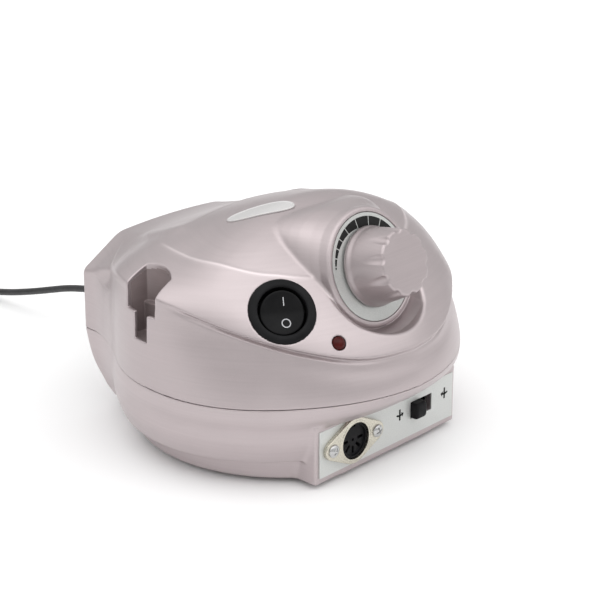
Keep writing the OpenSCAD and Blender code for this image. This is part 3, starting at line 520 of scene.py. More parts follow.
def base_field(g, zs):
    out = np.empty((g.n[0], g.n[1], len(zs)), np.float32)
    ax, ay = np.abs(g.x[:, :, 0]), g.y[:, :, 0]
    x2, rho = g.x[:, :, 0], g.rho[:, :, 0]
    k2 = 0.5 + 9.0 * g.kk[:, :, 0]
    for i, z in enumerate(zs):
        z = float(z)
        wl = np.maximum((rho - g.base_r(z)) * 0.96, 10 - z)
        cut = np.maximum(ay + 48 + 0 * ax, z - 22.6)
        wl = smax(wl, -cut, 1.2)
        pl = np.maximum(rho - (54.5 + (z - 2) / 8), np.maximum(z - 12, -(ay + 48) + 0 * ax))
        pb = np.maximum(np.maximum(smax(ax - 36.8, -48 - ay, 0.9), ay + 30), z - 22.9)
        f = smin(wl, pl, 0.3)
        f = smin(f, pb, 1.6)
        d = float(cub(np.array(z), [(2, 9.3), (4, 7.6), (8, 5.2), (12, 3.8), (16, 2.5), (20, 1.5), (24, 0.85), (28, 0.35), (31.6, 0)]))
        rb = smax(ax - 43 + d, ay - 62.7 + d, 1.4)
        rb = np.maximum(rb, 8 - ay) * 0.93
        f = smin(f, rb, k2)
        body = f
        cav = np.maximum(body + WALL, np.maximum(4.4 - z, -(ay + 45.6) + 0 * ax if z < 25 else -100))
        keep = np.full_like(body, 1e3)
        for px, py in POSTS:
            d = np.hypot(x2 - px, ay - py)
            keep = np.minimum(keep, np.maximum(d - 4.6, z - 25))
        for px, py in BOARD_HOLES:
            keep = np.minimum(keep, np.maximum(np.hypot(x2 - px, ay - py) - 3.2, z - 9))
        keep = np.minimum(keep, np.maximum(np.hypot(ax, z - 25) - 6.2, 55.7 - ay))
        cav = np.maximum(cav, -keep)
        f = np.maximum(smax(f, 2.0 - z, 0.5), -cav)
        for px, py in POSTS:
            d = np.hypot(x2 - px, ay - py)
            f = np.maximum(f, -np.maximum(d - 3.3, z - 16))
            f = np.maximum(f, -(d - 1.75))
            f = np.maximum(f, -np.maximum(d - 4.75, 25 - z))
        for px, py in BOARD_HOLES:
            f = np.maximum(f, -np.maximum(np.hypot(x2 - px, ay - py) - 1.5, 4.6 - z))
        for px in (-30, 30):
            f = np.maximum(f, -np.maximum(np.hypot(x2 - px, ay - 33) - 1.5, 2.7 - z))
        for px, py in FEET:
            f = np.maximum(f, -np.maximum(np.hypot(x2 - px, ay - py) - 4.65, z - 2.6))
        f = np.maximum(f, -np.maximum(np.hypot(x2 - DIN_X, z - DIN_Z) - 7.65, ay + 40))
        for s in (-1, 1):
            f = np.maximum(f, -np.maximum(np.hypot(x2 - DIN_X - s * DIN_S, z - DIN_Z) - 1.55, ay + 40))
        f = np.maximum(f, -np.maximum(np.maximum(np.abs(x2 - SLIDE_X) - 5.85, abs(z - SLIDE_Z) - 3.25), ay + 40))
        f = np.maximum(f, -np.maximum(np.hypot(ax, z - 25) - 3.25, 50 - ay))
        f = np.maximum(f, -np.maximum(np.hypot(ax, z - 25) - 5.3, 61.4 - ay))
        out[:, :, i] = smax(f, z - (PZ - GAP / 2), 0.12)
    return out


def trilinear(F, p):
    n = np.array(F.shape) - 1
    q = np.clip(p, 0, n - 1e-3)
    i = q.astype(int)
    i = np.minimum(i, n - 1)
    t = q - i
    r = 0
    for a in (0, 1):
        for b in (0, 1):
            for c in (0, 1):
                w = (t[:, 0] if a else 1 - t[:, 0]) * (t[:, 1] if b else 1 - t[:, 1]) * (t[:, 2] if c else 1 - t[:, 2])
                r = r + w * F[i[:, 0] + a, i[:, 1] + b, i[:, 2] + c]
    return r


def net(F, lo, h):
    """Surface net of F < 0: vertices (mm), quads and outward normals."""
    neg = F < 0
    nx, ny, nz = F.shape
    cnt = np.zeros((nx - 1, ny - 1, nz - 1), np.uint8)
    for a in (0, 1):
        for b in (0, 1):
            for c in (0, 1):
                cnt += neg[a:nx - 1 + a, b:ny - 1 + b, c:nz - 1 + c]
    act = (cnt > 0) & (cnt < 8)
    idx = np.argwhere(act)
    vid = np.full(act.shape, -1, np.int32)
    vid[act] = np.arange(len(idx))
    val = {}
    for a in (0, 1):
        for b in (0, 1):
            for c in (0, 1):
                val[a, b, c] = F[idx[:, 0] + a, idx[:, 1] + b, idx[:, 2] + c].astype(float)
    acc, num = np.zeros((len(idx), 3)), np.zeros(len(idx))
    ks = list(val)
    for i, p in enumerate(ks):
        for q in ks[i + 1:]:
            if sum(abs(p[k] - q[k]) for k in range(3)) != 1:
                continue
            va, vb = val[p], val[q]
            cross = (va < 0) != (vb < 0)
            t = np.where(cross, va / np.where(cross, va - vb, 1), 0)
            pt = np.array(p)[None] + (np.array(q) - np.array(p))[None] * t[:, None]
            acc += pt * cross[:, None]
            num += cross
    pos = idx + acc / num[:, None]
    quads = []
    for ax in range(3):
        o1, o2 = [k for k in range(3) if k != ax]
        s = [slice(None)] * 3
        s0, s1 = list(s), list(s)
        s0[ax], s1[ax] = slice(0, -1), slice(1, None)
        A, B = neg[tuple(s0)], neg[tuple(s1)]
        e = np.argwhere(A != B)
        ok = (e[:, o1] > 0) & (e[:, o2] > 0) & (e[:, o1] < F.shape[o1] - 1) & (e[:, o2] < F.shape[o2] - 1)
        e = e[ok]
        first = A[e[:, 0], e[:, 1], e[:, 2]]
        d1, d2 = np.zeros(3, int), np.zeros(3, int)
        d1[o1], d2[o2] = 1, 1
        v = [vid[tuple((e - k).T)] for k in (d1 + d2, d2, 0 * d1, d1)]
        q = np.stack(v, -1)
        flip = first if ax != 1 else ~first
        q = np.where(flip[:, None], q, q[:, ::-1])
        quads.append(q)
    quads = np.concatenate(quads)
    g = np.stack([trilinear(F, pos + d) - trilinear(F, pos - d) for d in (np.eye(3) * 0.6)], -1)
    f0 = trilinear(F, pos)
    gl = np.linalg.norm(g, axis=1, keepdims=True) + 1e-9
    nrm = g / gl
    step = np.clip(f0[:, None] / np.maximum(gl / 1.2, 0.15), -0.4, 0.4)
    pos = pos - np.where(np.abs(step) < 0.4, step, 0) * nrm
    return lo + h * pos, quads, nrm


def net_object(name, F, g, m):
    v, q, n = net(F, g.lo, g.h)
    me = bpy.data.meshes.new(name)
    me.vertices.add(len(v))
    me.vertices.foreach_set("co", (v * MM).astype(np.float32).ravel())
    me.loops.add(q.size)
    me.loops.foreach_set("vertex_index", q.astype(np.int32).ravel())
    me.polygons.add(len(q))
    me.polygons.foreach_set("loop_start", np.arange(0, q.size, 4, dtype=np.int32))
    me.update(calc_edges=True)
    me.validate()
    me.shade_smooth()
    me.normals_split_custom_set_from_vertices(n.tolist())
    o = link(bpy.data.objects.new(name, me))
    me.materials.append(m)
    return o


H = 0.42
g1 = Grid((-67.0, -64.5, 30.5), (67.0, 64.5, 90.0), H)
F1 = np.concatenate([top_field(g1, g1.zs[i:i + 12]) for i in range(0, len(g1.zs), 12)], 2)
top_shell = net_object("upper_housing", F1, g1, M_SHELL)


def shade_slot_walls(o):
    """The walls inside the holder slots, more than half a millimetre under the skin, get the darker slot material:
    painted shade for the recess, which is also rougher and less metallic.
    """
    me = o.data
    me.materials.append(M_SLOT_SHADE)
    n = len(me.polygons)
    c = np.empty(3 * n, np.float32)
    me.polygons.foreach_get("center", c)
    c = c.reshape(n, 3) / MM
    idx = np.where((np.abs(c[:, 0]) > 52) & (np.abs(c[:, 1] - 6.9) < 7.9) & (c[:, 2] > 47))[0]
    x, y, z = (c[idx, k] for k in range(3))
    rho = np.hypot(x, y - Y0)
    th = np.degrees(np.arctan2(np.abs(x), -(y - Y0)))
    r1, z1, r2 = cub(th, K_R1), cub(th, K_Z1), cub(th, K_R2)
    z2 = hood(r2 * np.sin(np.radians(th)), Y0 - r2 * np.cos(np.radians(th)))
    skin = z1 + (z2 - z1) * np.clip((r1 - rho) / (r1 - r2), 0, 1.2)
    t = np.clip((z - PZ) / (z1 - 2.6 - PZ), 0, 1)
    wall = cub(th, K_RP) * (1 - t) + r1 * t
    deep = (rho < wall - 1.3) & (z < skin - 1.0)
    slot = np.zeros(n, np.int32)
    slot[idx[deep]] = 1
    me.polygons.foreach_set("material_index", slot)


shade_slot_walls(top_shell)


def edge_highlight_mask(o, g):
    """Mask for the painted highlight: how near each point lies to the crease above the band and to the rim of the bay,
    from 0 to 1.
    """
    me = o.data
    n = len(me.vertices)
    c = np.empty(3 * n, np.float32)
    me.vertices.foreach_get("co", c)
    x, y, z = (c.reshape(n, 3).astype(float) / MM).T
    rho = np.hypot(x, y - Y0)
    th = np.degrees(np.arctan2(np.abs(x), -(y - Y0)))
    i = np.clip(((x - g.lo[0]) / g.h).astype(int), 0, g.n[0] - 2)
    j = np.clip(((y - g.lo[1]) / g.h).astype(int), 0, g.n[1] - 2)
    a, b = (x - g.lo[0]) / g.h - i, (y - g.lo[1]) / g.h - j
    T = g.top[:, :, 0]
    deep = T[i, j] * (1 - a) * (1 - b) + T[i + 1, j] * a * (1 - b) + T[i, j + 1] * (1 - a) * b + T[i + 1, j + 1] * a * b - z
    skin = np.exp(-((np.maximum(deep, 0) / 0.7) ** 2))
    k = 0.9 * np.exp(-(((rho - cub(th, K_R2)) / 0.5) ** 2)) * skin * step01(th, 30, 50) * (1 - step01(th, 104, 118)) * (np.abs(deep) < 1.2)
    dy, dz = y - DIAL[1], z - DIAL[2]
    cs, sn = math.cos(TILT), math.sin(TILT)
    v, h = dy * sn + dz * cs, -dy * cs + dz * sn
    bay = np.maximum((np.hypot(x, v) - 20.2 - 0.37 * np.clip(h + 4.4, 0, 9)) * 0.92, np.maximum(np.abs(x) - 21.8, -(h + 4.4)))
    rim = 0.75 * np.exp(-((np.maximum(bay, 0) / 0.55) ** 2)) * skin * (bay > -0.5) * (np.abs(deep) < 1.2)
    at = me.attributes.new("crease", "FLOAT", "POINT")
    at.data.foreach_set("value", np.clip(np.maximum(k, rim), 0, 1).astype(np.float32))


edge_highlight_mask(top_shell, g1)
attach(top_shell, "housing")
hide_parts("top_shell")
del F1
g2 = Grid((-67.0, -64.5, 0.8), (67.0, 64.5, 33.0), H)
F2 = base_field(g2, g2.zs)
base_shell = net_object("lower_housing", F2, g2, M_BASE_LIT)
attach(base_shell, "housing")
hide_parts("base_shell")
del F2

# ------------------------------------------------------------------ small pieces
def frame_at(p, ex, ey, ez):
    return np.array(p, float), np.array([ex, ey, ez], float)


def along_frame(p, n, turn=0.0):
    n = np.asarray(n, float) / np.linalg.norm(n)
    psi = math.atan2(n[1], n[0])
    ex = np.array((math.cos(psi) * n[2], math.sin(psi) * n[2], -math.hypot(n[0], n[1])))
    ey = np.array((-math.sin(psi), math.cos(psi), 0))
    c, s = math.cos(math.radians(turn)), math.sin(math.radians(turn))
    return frame_at(p, c * ex + s * ey, -s * ex + c * ey, n)


DIAL_F = frame_at(DIAL, (1, 0, 0), (0, math.sin(TILT), math.cos(TILT)), (0, -math.cos(TILT), math.sin(TILT)))
ROCK_F = along_frame(ROCK_P, ROCK_N)
LAMP_F = along_frame(LAMP_P, LAMP_N)
BADGE_F = along_frame(BADGE_P, BADGE_N, BADGE_TURN)


def panel_frame(x, z):
    return frame_at((x, -48.5, z), (1, 0, 0), (0, 0, 1), (0, -1, 0))


def place(fr, v):
    return fr[0] + np.asarray(v, float) @ fr[1]


def finish_piece(o, body, slot, *nodes, m=None):
    if m is not None:
        o.data.materials.append(m)
    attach(o, body)
    if nodes:
        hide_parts(*nodes)
    return o


def mesh_piece(name, fr, verts, faces, sharp=35):
    me = bpy.data.meshes.new(name)
    me.from_pydata((place(fr, verts) * MM).tolist(), [], [list(map(int, f)) for f in faces])
    bm = bmesh.new()
    bm.from_mesh(me)
    bmesh.ops.remove_doubles(bm, verts=bm.verts, dist=1e-7)
    bmesh.ops.dissolve_degenerate(bm, edges=bm.edges, dist=1e-7)
    bmesh.ops.recalc_face_normals(bm, faces=bm.faces)
    bm.to_mesh(me)
    bm.free()
    me.shade_smooth()
    me.set_sharp_from_angle(angle=math.radians(sharp))
    return link(bpy.data.objects.new(name, me))


def rings_faces(nr, n, closed=False):
    f = []
    for i in range(nr if closed else nr - 1):
        a, b = i * n, ((i + 1) % nr) * n
        for k in range(n):
            f.append((a + k, a + (k + 1) % n, b + (k + 1) % n, b + k))
    return f


def lathe(name, fr, prof, n=96, sharp=35):
    """A closed solid turned about the frame's z from (radius, height) points."""
    v = []
    for r, h in prof:
        for k in range(n):
            t = 2 * math.pi * k / n
            v.append((max(r, 1e-4) * math.cos(t), max(r, 1e-4) * math.sin(t), h))
    f = rings_faces(len(prof), n)
    f.append(tuple(range(n - 1, -1, -1)))
    f.append(tuple((len(prof) - 1) * n + k for k in range(n)))
    return mesh_piece(name, fr, v, f, sharp)


class Block:
    """A small axis-aligned grid in a local frame, for pieces with rounded edges."""

    def __init__(self, lo, hi, h):
        self.lo, self.h = np.array(lo, float), h
        ax = [lo[k] + h * np.arange(int(math.ceil((hi[k] - lo[k]) / h)) + 1) for k in range(3)]
        self.x, self.y, self.z = np.meshgrid(*[a.astype(np.float32) for a in ax], indexing="ij")
        self.r = np.sqrt(self.x ** 2 + self.y ** 2)


def field_piece(name, fr, b, F):
    v, q, n = net(F, b.lo, b.h)
    me = bpy.data.meshes.new(name)
    v, n = place(fr, v), n @ fr[1]
    me.vertices.add(len(v))
    me.vertices.foreach_set("co", (v * MM).astype(np.float32).ravel())
    me.loops.add(q.size)
    me.loops.foreach_set("vertex_index", q.astype(np.int32).ravel())
    me.polygons.add(len(q))
    me.polygons.foreach_set("loop_start", np.arange(0, q.size, 4, dtype=np.int32))
    me.update(calc_edges=True)
    me.validate()
    me.shade_smooth()
    me.normals_split_custom_set_from_vertices(n.tolist())
    return link(bpy.data.objects.new(name, me))


FINE = 1.0


# the knob: a smooth bell with ten grooves that deepen towards its face
def knob_piece():
    n = 480
    th = np.arange(n) * 2 * math.pi / n
    d = (np.degrees(th) - 18.0 + 18.0) % 36.0 - 18.0
    d = np.radians(d)

    def side(h, r0):
        a = 12.35 + (16.5 - h) * 0.33
        inside = 2.15 ** 2 * 1.02 - (a * np.sin(d)) ** 2
        rho = np.where(inside > 0, a * np.cos(d) - np.sqrt(np.maximum(inside, 0)), 30.0)
        return smin(np.full(n, r0), rho, 0.45)

    prof = [(14.0, 1.3), (14.0, 1.7), (13.95, 2.1), (13.82, 2.5), (13.64, 2.9), (13.46, 3.3)]
    hs = np.linspace(3.8, 15.4, 36)
    rs = np.interp(hs, [3.8, 6, 9, 12, 14, 15.4], [13.3, 12.95, 12.5, 12.03, 11.7, 11.45])
    rings = []
    for r, h in prof + list(zip(rs, hs)):
        rings.append((side(h, r), h))
    edge = side(15.4, 11.45)
    for t in np.linspace(0, 1, 9)[1:]:
        a = t * math.pi / 2
        rings.append((edge - 1.0 * (1 - math.cos(a)), 15.4 + 1.1 * math.sin(a)))
    last = rings[-1][0]
    for s in (0.985, 0.93, 0.8, 0.6, 0.4, 0.2, 0.08):
        rings.append((last * s, 16.5))
    under = [(np.full(n, r), h) for r, h in ((3.04, 14.4), (3.04, 5.0), (8.0, 5.0), (8.0, 1.3), (13.7, 1.22))]
    rings = under + rings
    v = np.concatenate([np.stack([r * np.cos(th), r * np.sin(th), np.full(n, h)], 1) for r, h in rings])
    f = rings_faces(len(rings), n)
    f.append(tuple(range(n - 1, -1, -1)))
    f.append(tuple((len(rings) - 1) * n + k for k in range(n)))
    o = mesh_piece("dial_knob", DIAL_F, v, f, 50)
    finish_piece(o, "knob", "knob", "speed_knob", m=M_KNOB)


knob_piece()


# the wedge-shaped scale on the dial plate
def dial_scale():
    cuts = [-10, 12, 34, 56, 76, 97.8, 118, 133.5, 145.5, 157, 166.3, 170.2]
    v, f = [], []
    for a, b in zip(cuts, cuts[1:]):
        g = math.degrees(0.19 / 16.5)
        n = max(3, int((b - a) / 1.5))
        i0 = len(v)
        for h in (0.50, 0.56):
            for k in range(n + 1):
                t = a + g + (b - a - 2 * g) * k / n
                ri = 16.9 - 0.0395 * (170 - t)
                for r in (ri, 17.35):
                    v.append((r * math.cos(math.radians(t)), r * math.sin(math.radians(t)), h))
        m = 2 * (n + 1)
        for k in range(n):
            p = i0 + 2 * k
            f += [(p + m, p + m + 1, p + m + 3, p + m + 2), (p, p + 2, p + 3, p + 1)]
            f += [(p, p + m, p + m + 2, p + 2), (p + 1, p + 3, p + m + 3, p + m + 1)]
        e = i0 + 2 * n
        f += [(i0, i0 + 1, i0 + m + 1, i0 + m), (e, e + m, e + m + 1, e + 1)]
    finish_piece(mesh_piece("dial_scale", DIAL_F, v, f), "housing", "black_plastic", m=M_INK)


dial_scale()


# the round rocker switch
def rocker_switch():
    b = Block((-11.8, -11.8, -14.6), (11.8, 11.8, 1.6), 0.17 * FINE)
    top = 0.95 - 0.55 * np.clip((b.r - 9.3) / 1.9, 0, 1) ** 2 - 0.35 * np.clip((9.2 - b.r) / 0.8, 0, 1) ** 2
    ring = smax(smax(b.r - 11.45, b.z - top, 0.55), -1.15 - b.z, 0.2)
    barrel = smax(b.r - 9.8, np.maximum(b.z, -14 - b.z), 0.3)
    F = np.minimum(ring, barrel)
    F = smax(F, -np.maximum(b.r - 8.4, -7.4 - b.z), 0.25)
    finish_piece(field_piece("switch_bezel", ROCK_F, b, F), "housing", "black_plastic", "rocker_bezel", m=M_BEZEL)

    c, s = math.cos(math.radians(8)), math.sin(math.radians(8))
    ex, ey, ez = ROCK_F[1]
    fr = (ROCK_F[0] - 3 * ez, np.array([c * ex - s * ez, ey, s * ex + c * ez]))
    b = Block((-8.2, -8.9, -3.2), (8.2, 8.9, 4.6), 0.14 * FINE)
    top = 2.5 + (np.sqrt(b.x ** 2 + 1.2) - 1.095) * 0.175
    F = smax(b.r - 7.6, b.z - top, 0.7)
    F = smax(F, -2.6 + 0.2 * np.maximum(np.abs(b.x) - 3, 0) - b.z, 0.5)
    pin = np.maximum(np.sqrt(b.x ** 2 + b.z ** 2) - 1.0, np.abs(b.y) - 8.25)
    F = np.minimum(F, pin)
    finish_piece(field_piece("switch_paddle", fr, b, F), "rocker_paddle", "black_plastic", "rocker", m=M_ROCKER)

    def top_h(x):
        return 2.5 + (math.sqrt(x * x + 1.2) - 1.095) * 0.175

    # I and O, printed on the two halves
    v, f = [], []

    def strip(pts, w):
        """A flat ribbon with square ends along points on the paddle."""
        i0 = len(v)
        for i, (x, y) in enumerate(pts):
            p, q = pts[max(i - 1, 0)], pts[min(i + 1, len(pts) - 1)]
            dx, dy = q[0] - p[0], q[1] - p[1]
            L = math.hypot(dx, dy)
            nx, ny = -dy / L * w / 2, dx / L * w / 2
            for sx in (1, -1):
                for up in (-0.05, 0.03):
                    px = x + sx * nx
                    v.append((px, y + sx * ny, top_h(px) + up))
        for i in range(len(pts) - 1):
            a, e = i0 + 4 * i, i0 + 4 * i + 4
            f.extend([(a + 1, e + 1, e + 3, a + 3), (a, a + 2, e + 2, e), (a, e, e + 1, a + 1), (a + 2, a + 3, e + 3, e + 2)])
        e = i0 + 4 * (len(pts) - 1)
        f.extend([(i0, i0 + 1, i0 + 3, i0 + 2), (e, e + 2, e + 3, e + 1)])

    yc = 0.8
    strip([(-5.2 + 2.8 * k / 8, yc) for k in range(9)], 0.31)
    i0, n = len(v), 64
    for k in range(n):
        t = 2 * math.pi * k / n
        for r in (1.24, 1.58):
            for up in (-0.05, 0.03):
                x = 3.5 + r * math.cos(t)
                v.append((x, yc + r * math.sin(t), top_h(x) + up))
    for k in range(n):
        a, e = i0 + 4 * k, i0 + 4 * ((k + 1) % n)
        f.extend([(a + 1, a + 3, e + 3, e + 1), (a, e, e + 2, a + 2), (a, a + 1, e + 1, e), (a + 2, e + 2, e + 3, a + 3)])
    finish_piece(mesh_piece("switch_marks", fr, v, f), "rocker_paddle", "white_plastic", m=M_MARK)


rocker_switch()

# the lamp
lens_prof = [(0.0, 1.2), (0.5, 1.17), (1.0, 1.06), (1.45, 0.86), (1.85, 0.56), (2.15, 0.22), (2.32, -0.1), (2.4, -0.5), (2.4, -5.0), (2.9, -5.0), (2.9, -6.0), (0.0, -6.0)]
finish_piece(lathe("lamp_dome", LAMP_F, lens_prof, 64, 40), "housing", "lens", "lamp_lens", m=M_LENS)


# the thin oval plate that follows the hood, with a raised border
def badge():
    b = Block((-12.6, -6.0, -4.4), (12.6, 6.0, 2.0), 0.14 * FINE)
    el = (np.sqrt((b.x / 12.0) ** 2 + (b.y / 5.0) ** 2) - 1)
    d = el * 5.0 / np.sqrt(np.maximum(((b.x / 12.0) ** 2 * (5.0 / 12.0) ** 2 + (b.y / 5.0) ** 2) / np.maximum((b.x / 12.0) ** 2 + (b.y / 5.0) ** 2, 1e-6), 0.05))
    x, y = b.x[:, :, 0].ravel(), b.y[:, :, 0].ravel()
    p = place(BADGE_F, np.stack([x, y, 0 * x], 1))
    skin = ((hood(p[:, 0], p[:, 1]) - p[:, 2]) * BADGE_F[1][2][2]).reshape(b.x.shape[0], b.x.shape[1], 1)
    top = skin + 0.36 - 0.2 * step01(-d, 0.5, 0.85) + 0.06 * np.clip(1 - (b.x / 12) ** 2 - (b.y / 5.0) ** 2, 0, 1)
    F = smax(smax(d, b.z - top, 0.3), skin - 0.27 - b.z, 0.1)
    finish_piece(field_piece("oval_plate", BADGE_F, b, F), "housing", "badge", "badge_plate", m=M_BADGE)


badge()


# the handpiece socket
def uneven(x, y, r1, r2, h):
    """Distance outside the outline around a circle r1 at the origin and one r2 at each side, h away."""
    a_, p = np.abs(x), np.abs(y)
    k = (r1 - r2) / h
    c = math.sqrt(1 - k * k)
    t = -k * p + c * a_
    d0 = np.sqrt(a_ ** 2 + p ** 2) - r1
    d1 = np.sqrt((a_ - h) ** 2 + p ** 2) - r2
    d2 = p * c + a_ * k - r1
    return np.where(t < 0, d0, np.where(t > c * h, d1, d2))


def socket():
    fr = panel_frame(DIN_X, DIN_Z)
    b = Block((-15.2, -9.0, -0.6), (15.2, 9.0, 2.6), 0.13 * FINE)
    plate = smax(smax(uneven(b.x, b.y, 8.4, 3.5, DIN_S), b.z - 1.6, 0.4), -b.z, 0.1)
    ring = smax(b.r - 7.35, b.z - 1.85, 0.3)
    F = smin(plate, np.maximum(ring, -b.z), 0.35)
    F = smax(F, 6.6 - b.r, 0.2)
    finish_piece(field_piece("socket_flange", fr, b, F), "housing", "nickel", "din_flange", m=M_NICKEL)

    b = Block((-7.0, -7.0, -4.6), (7.0, 7.0, 1.6), 0.11 * FINE)
    rim = smax(b.r - 6.55, b.z - 1.0, 0.25)
    dish = np.maximum(b.r - 5.75, 0.25 - b.z)
    F = smax(np.maximum(rim, -4.2 - b.z), -dish, 0.25)
    for a in (180, 225, 270, 315, 360):
        c, s = math.cos(math.radians(a)), math.sin(math.radians(a))
        al, ac = b.x * c + b.y * s, np.abs(-b.x * s + b.y * c)
        slot = np.maximum(np.maximum(ac - 0.5, np.abs(al - 3.75) - 1.35), -3.4 - b.z)
        F = smax(F, -slot, 0.15)
    key = np.maximum(np.maximum(np.abs(b.x) - 1.2, 4.7 - b.y), -2.6 - b.z)
    F = smax(F, -key, 0.15)
    F = smax(F, -np.maximum(b.r - 0.55, -2 - b.z), 0.1)
    finish_piece(field_piece("socket_insert", fr, b, F), "housing", "black_plastic", "din_insert", m=M_BLACK)

    for k, s in enumerate((-1, 1)):
        fr = panel_frame(DIN_X + s * DIN_S, DIN_Z)
        b = Block((-2.7, -2.7, -1.2), (2.7, 2.7, 3.4), 0.075 * FINE)
        dome = smax(np.sqrt(b.r ** 2 + (b.z + 0.5) ** 2) - 3.45, b.r - 2.35, 0.3)
        F = np.maximum(np.maximum(dome, 1.62 - b.z), b.z - 3.0)
        shank = np.maximum(b.r - 1.3, np.maximum(-0.9 - b.z, b.z - 2))
        F = np.minimum(F, shank)
        t = math.radians(20 if k else 52)
        p, q = b.x * math.cos(t) + b.y * math.sin(t), -b.x * math.sin(t) + b.y * math.cos(t)
        depth = 2.05 + 0.25 * b.r
        for u_, w_ in ((p, q), (q, p)):
            F = smax(F, -np.maximum(np.maximum(np.abs(u_) - 1.45, np.abs(w_) - 0.27), depth - b.z), 0.08)
        o = field_piece("socket_screw_%d" % (k + 1), fr, b, F)
        finish_piece(o, "housing", "steel", "din_screws", m=M_STEEL)


socket()


# the direction slide and the two turning arrows beside it
def slide():
    fr = panel_frame(SLIDE_X - 2.85, SLIDE_Z)
    b = Block((-3.3, -3.5, -7.6), (3.3, 3.5, 3.8), 0.12 * FINE)
    front = 3.2 - 0.012 * b.x ** 2 - 0.03 * b.y ** 2
    F = smax(np.abs(b.x) - 2.8, np.abs(b.y) - 3.0, 0.9)
    F = smax(F, b.z - front, 1.1)
    F = np.maximum(F, -7.1 - b.z)
    finish_piece(field_piece("slide_button", fr, b, F), "slide_button", "black_plastic", "slide_actuator", m=M_BLACK)

    v, f = [], []

    def ribbon(fr_pts, w):
        i0 = len(v)
        for i, (x, y) in enumerate(fr_pts):
            p, q = fr_pts[max(i - 1, 0)], fr_pts[min(i + 1, len(fr_pts) - 1)]
            dx, dy = q[0] - p[0], q[1] - p[1]
            L = math.hypot(dx, dy)
            ww = w[i] if isinstance(w, list) else w
            nx, ny = -dy / L * ww / 2, dx / L * ww / 2
            for sx in (1, -1):
                for up in (-0.02, 0.04):
                    v.append((x + sx * nx, y + sx * ny, up))
        for i in range(len(fr_pts) - 1):
            a, e = i0 + 4 * i, i0 + 4 * i + 4
            f.extend([(a + 1, e + 1, e + 3, a + 3), (a, a + 2, e + 2, e), (a, e, e + 1, a + 1), (a + 2, a + 3, e + 3, e + 2)])
        e = i0 + 4 * (len(fr_pts) - 1)
        f.extend([(i0, i0 + 1, i0 + 3, i0 + 2), (e, e + 2, e + 3, e + 1)])

    for cx, cz, sg in ((6.0, 14.2, 1), (30.6, 14.7, -1)):
        ribbon([(cx, cz - 2.1 + 4.2 * k / 8) for k in range(9)], 0.8)
        arc = []
        for k in range(21):
            t = math.radians(185 + 140 * k / 20)
            arc.append((cx + sg * 1.6 * math.cos(t), cz + 0.3 + 0.55 * math.sin(t)))
        ribbon(arc, 0.72)
        ex_, ez_ = arc[-1]
        dx, dz = arc[-1][0] - arc[-3][0], arc[-1][1] - arc[-3][1]
        L = math.hypot(dx, dz)
        ribbon([(ex_ + dx / L * (1.1 * k / 4 - 0.3), ez_ + dz / L * (1.1 * k / 4 - 0.3)) for k in range(5)], [2.0, 1.5, 1.0, 0.5, 0.05])
    finish_piece(mesh_piece("label_arrows", panel_frame(0, 0), v, f), "housing", "black_plastic", m=M_INK)


slide()


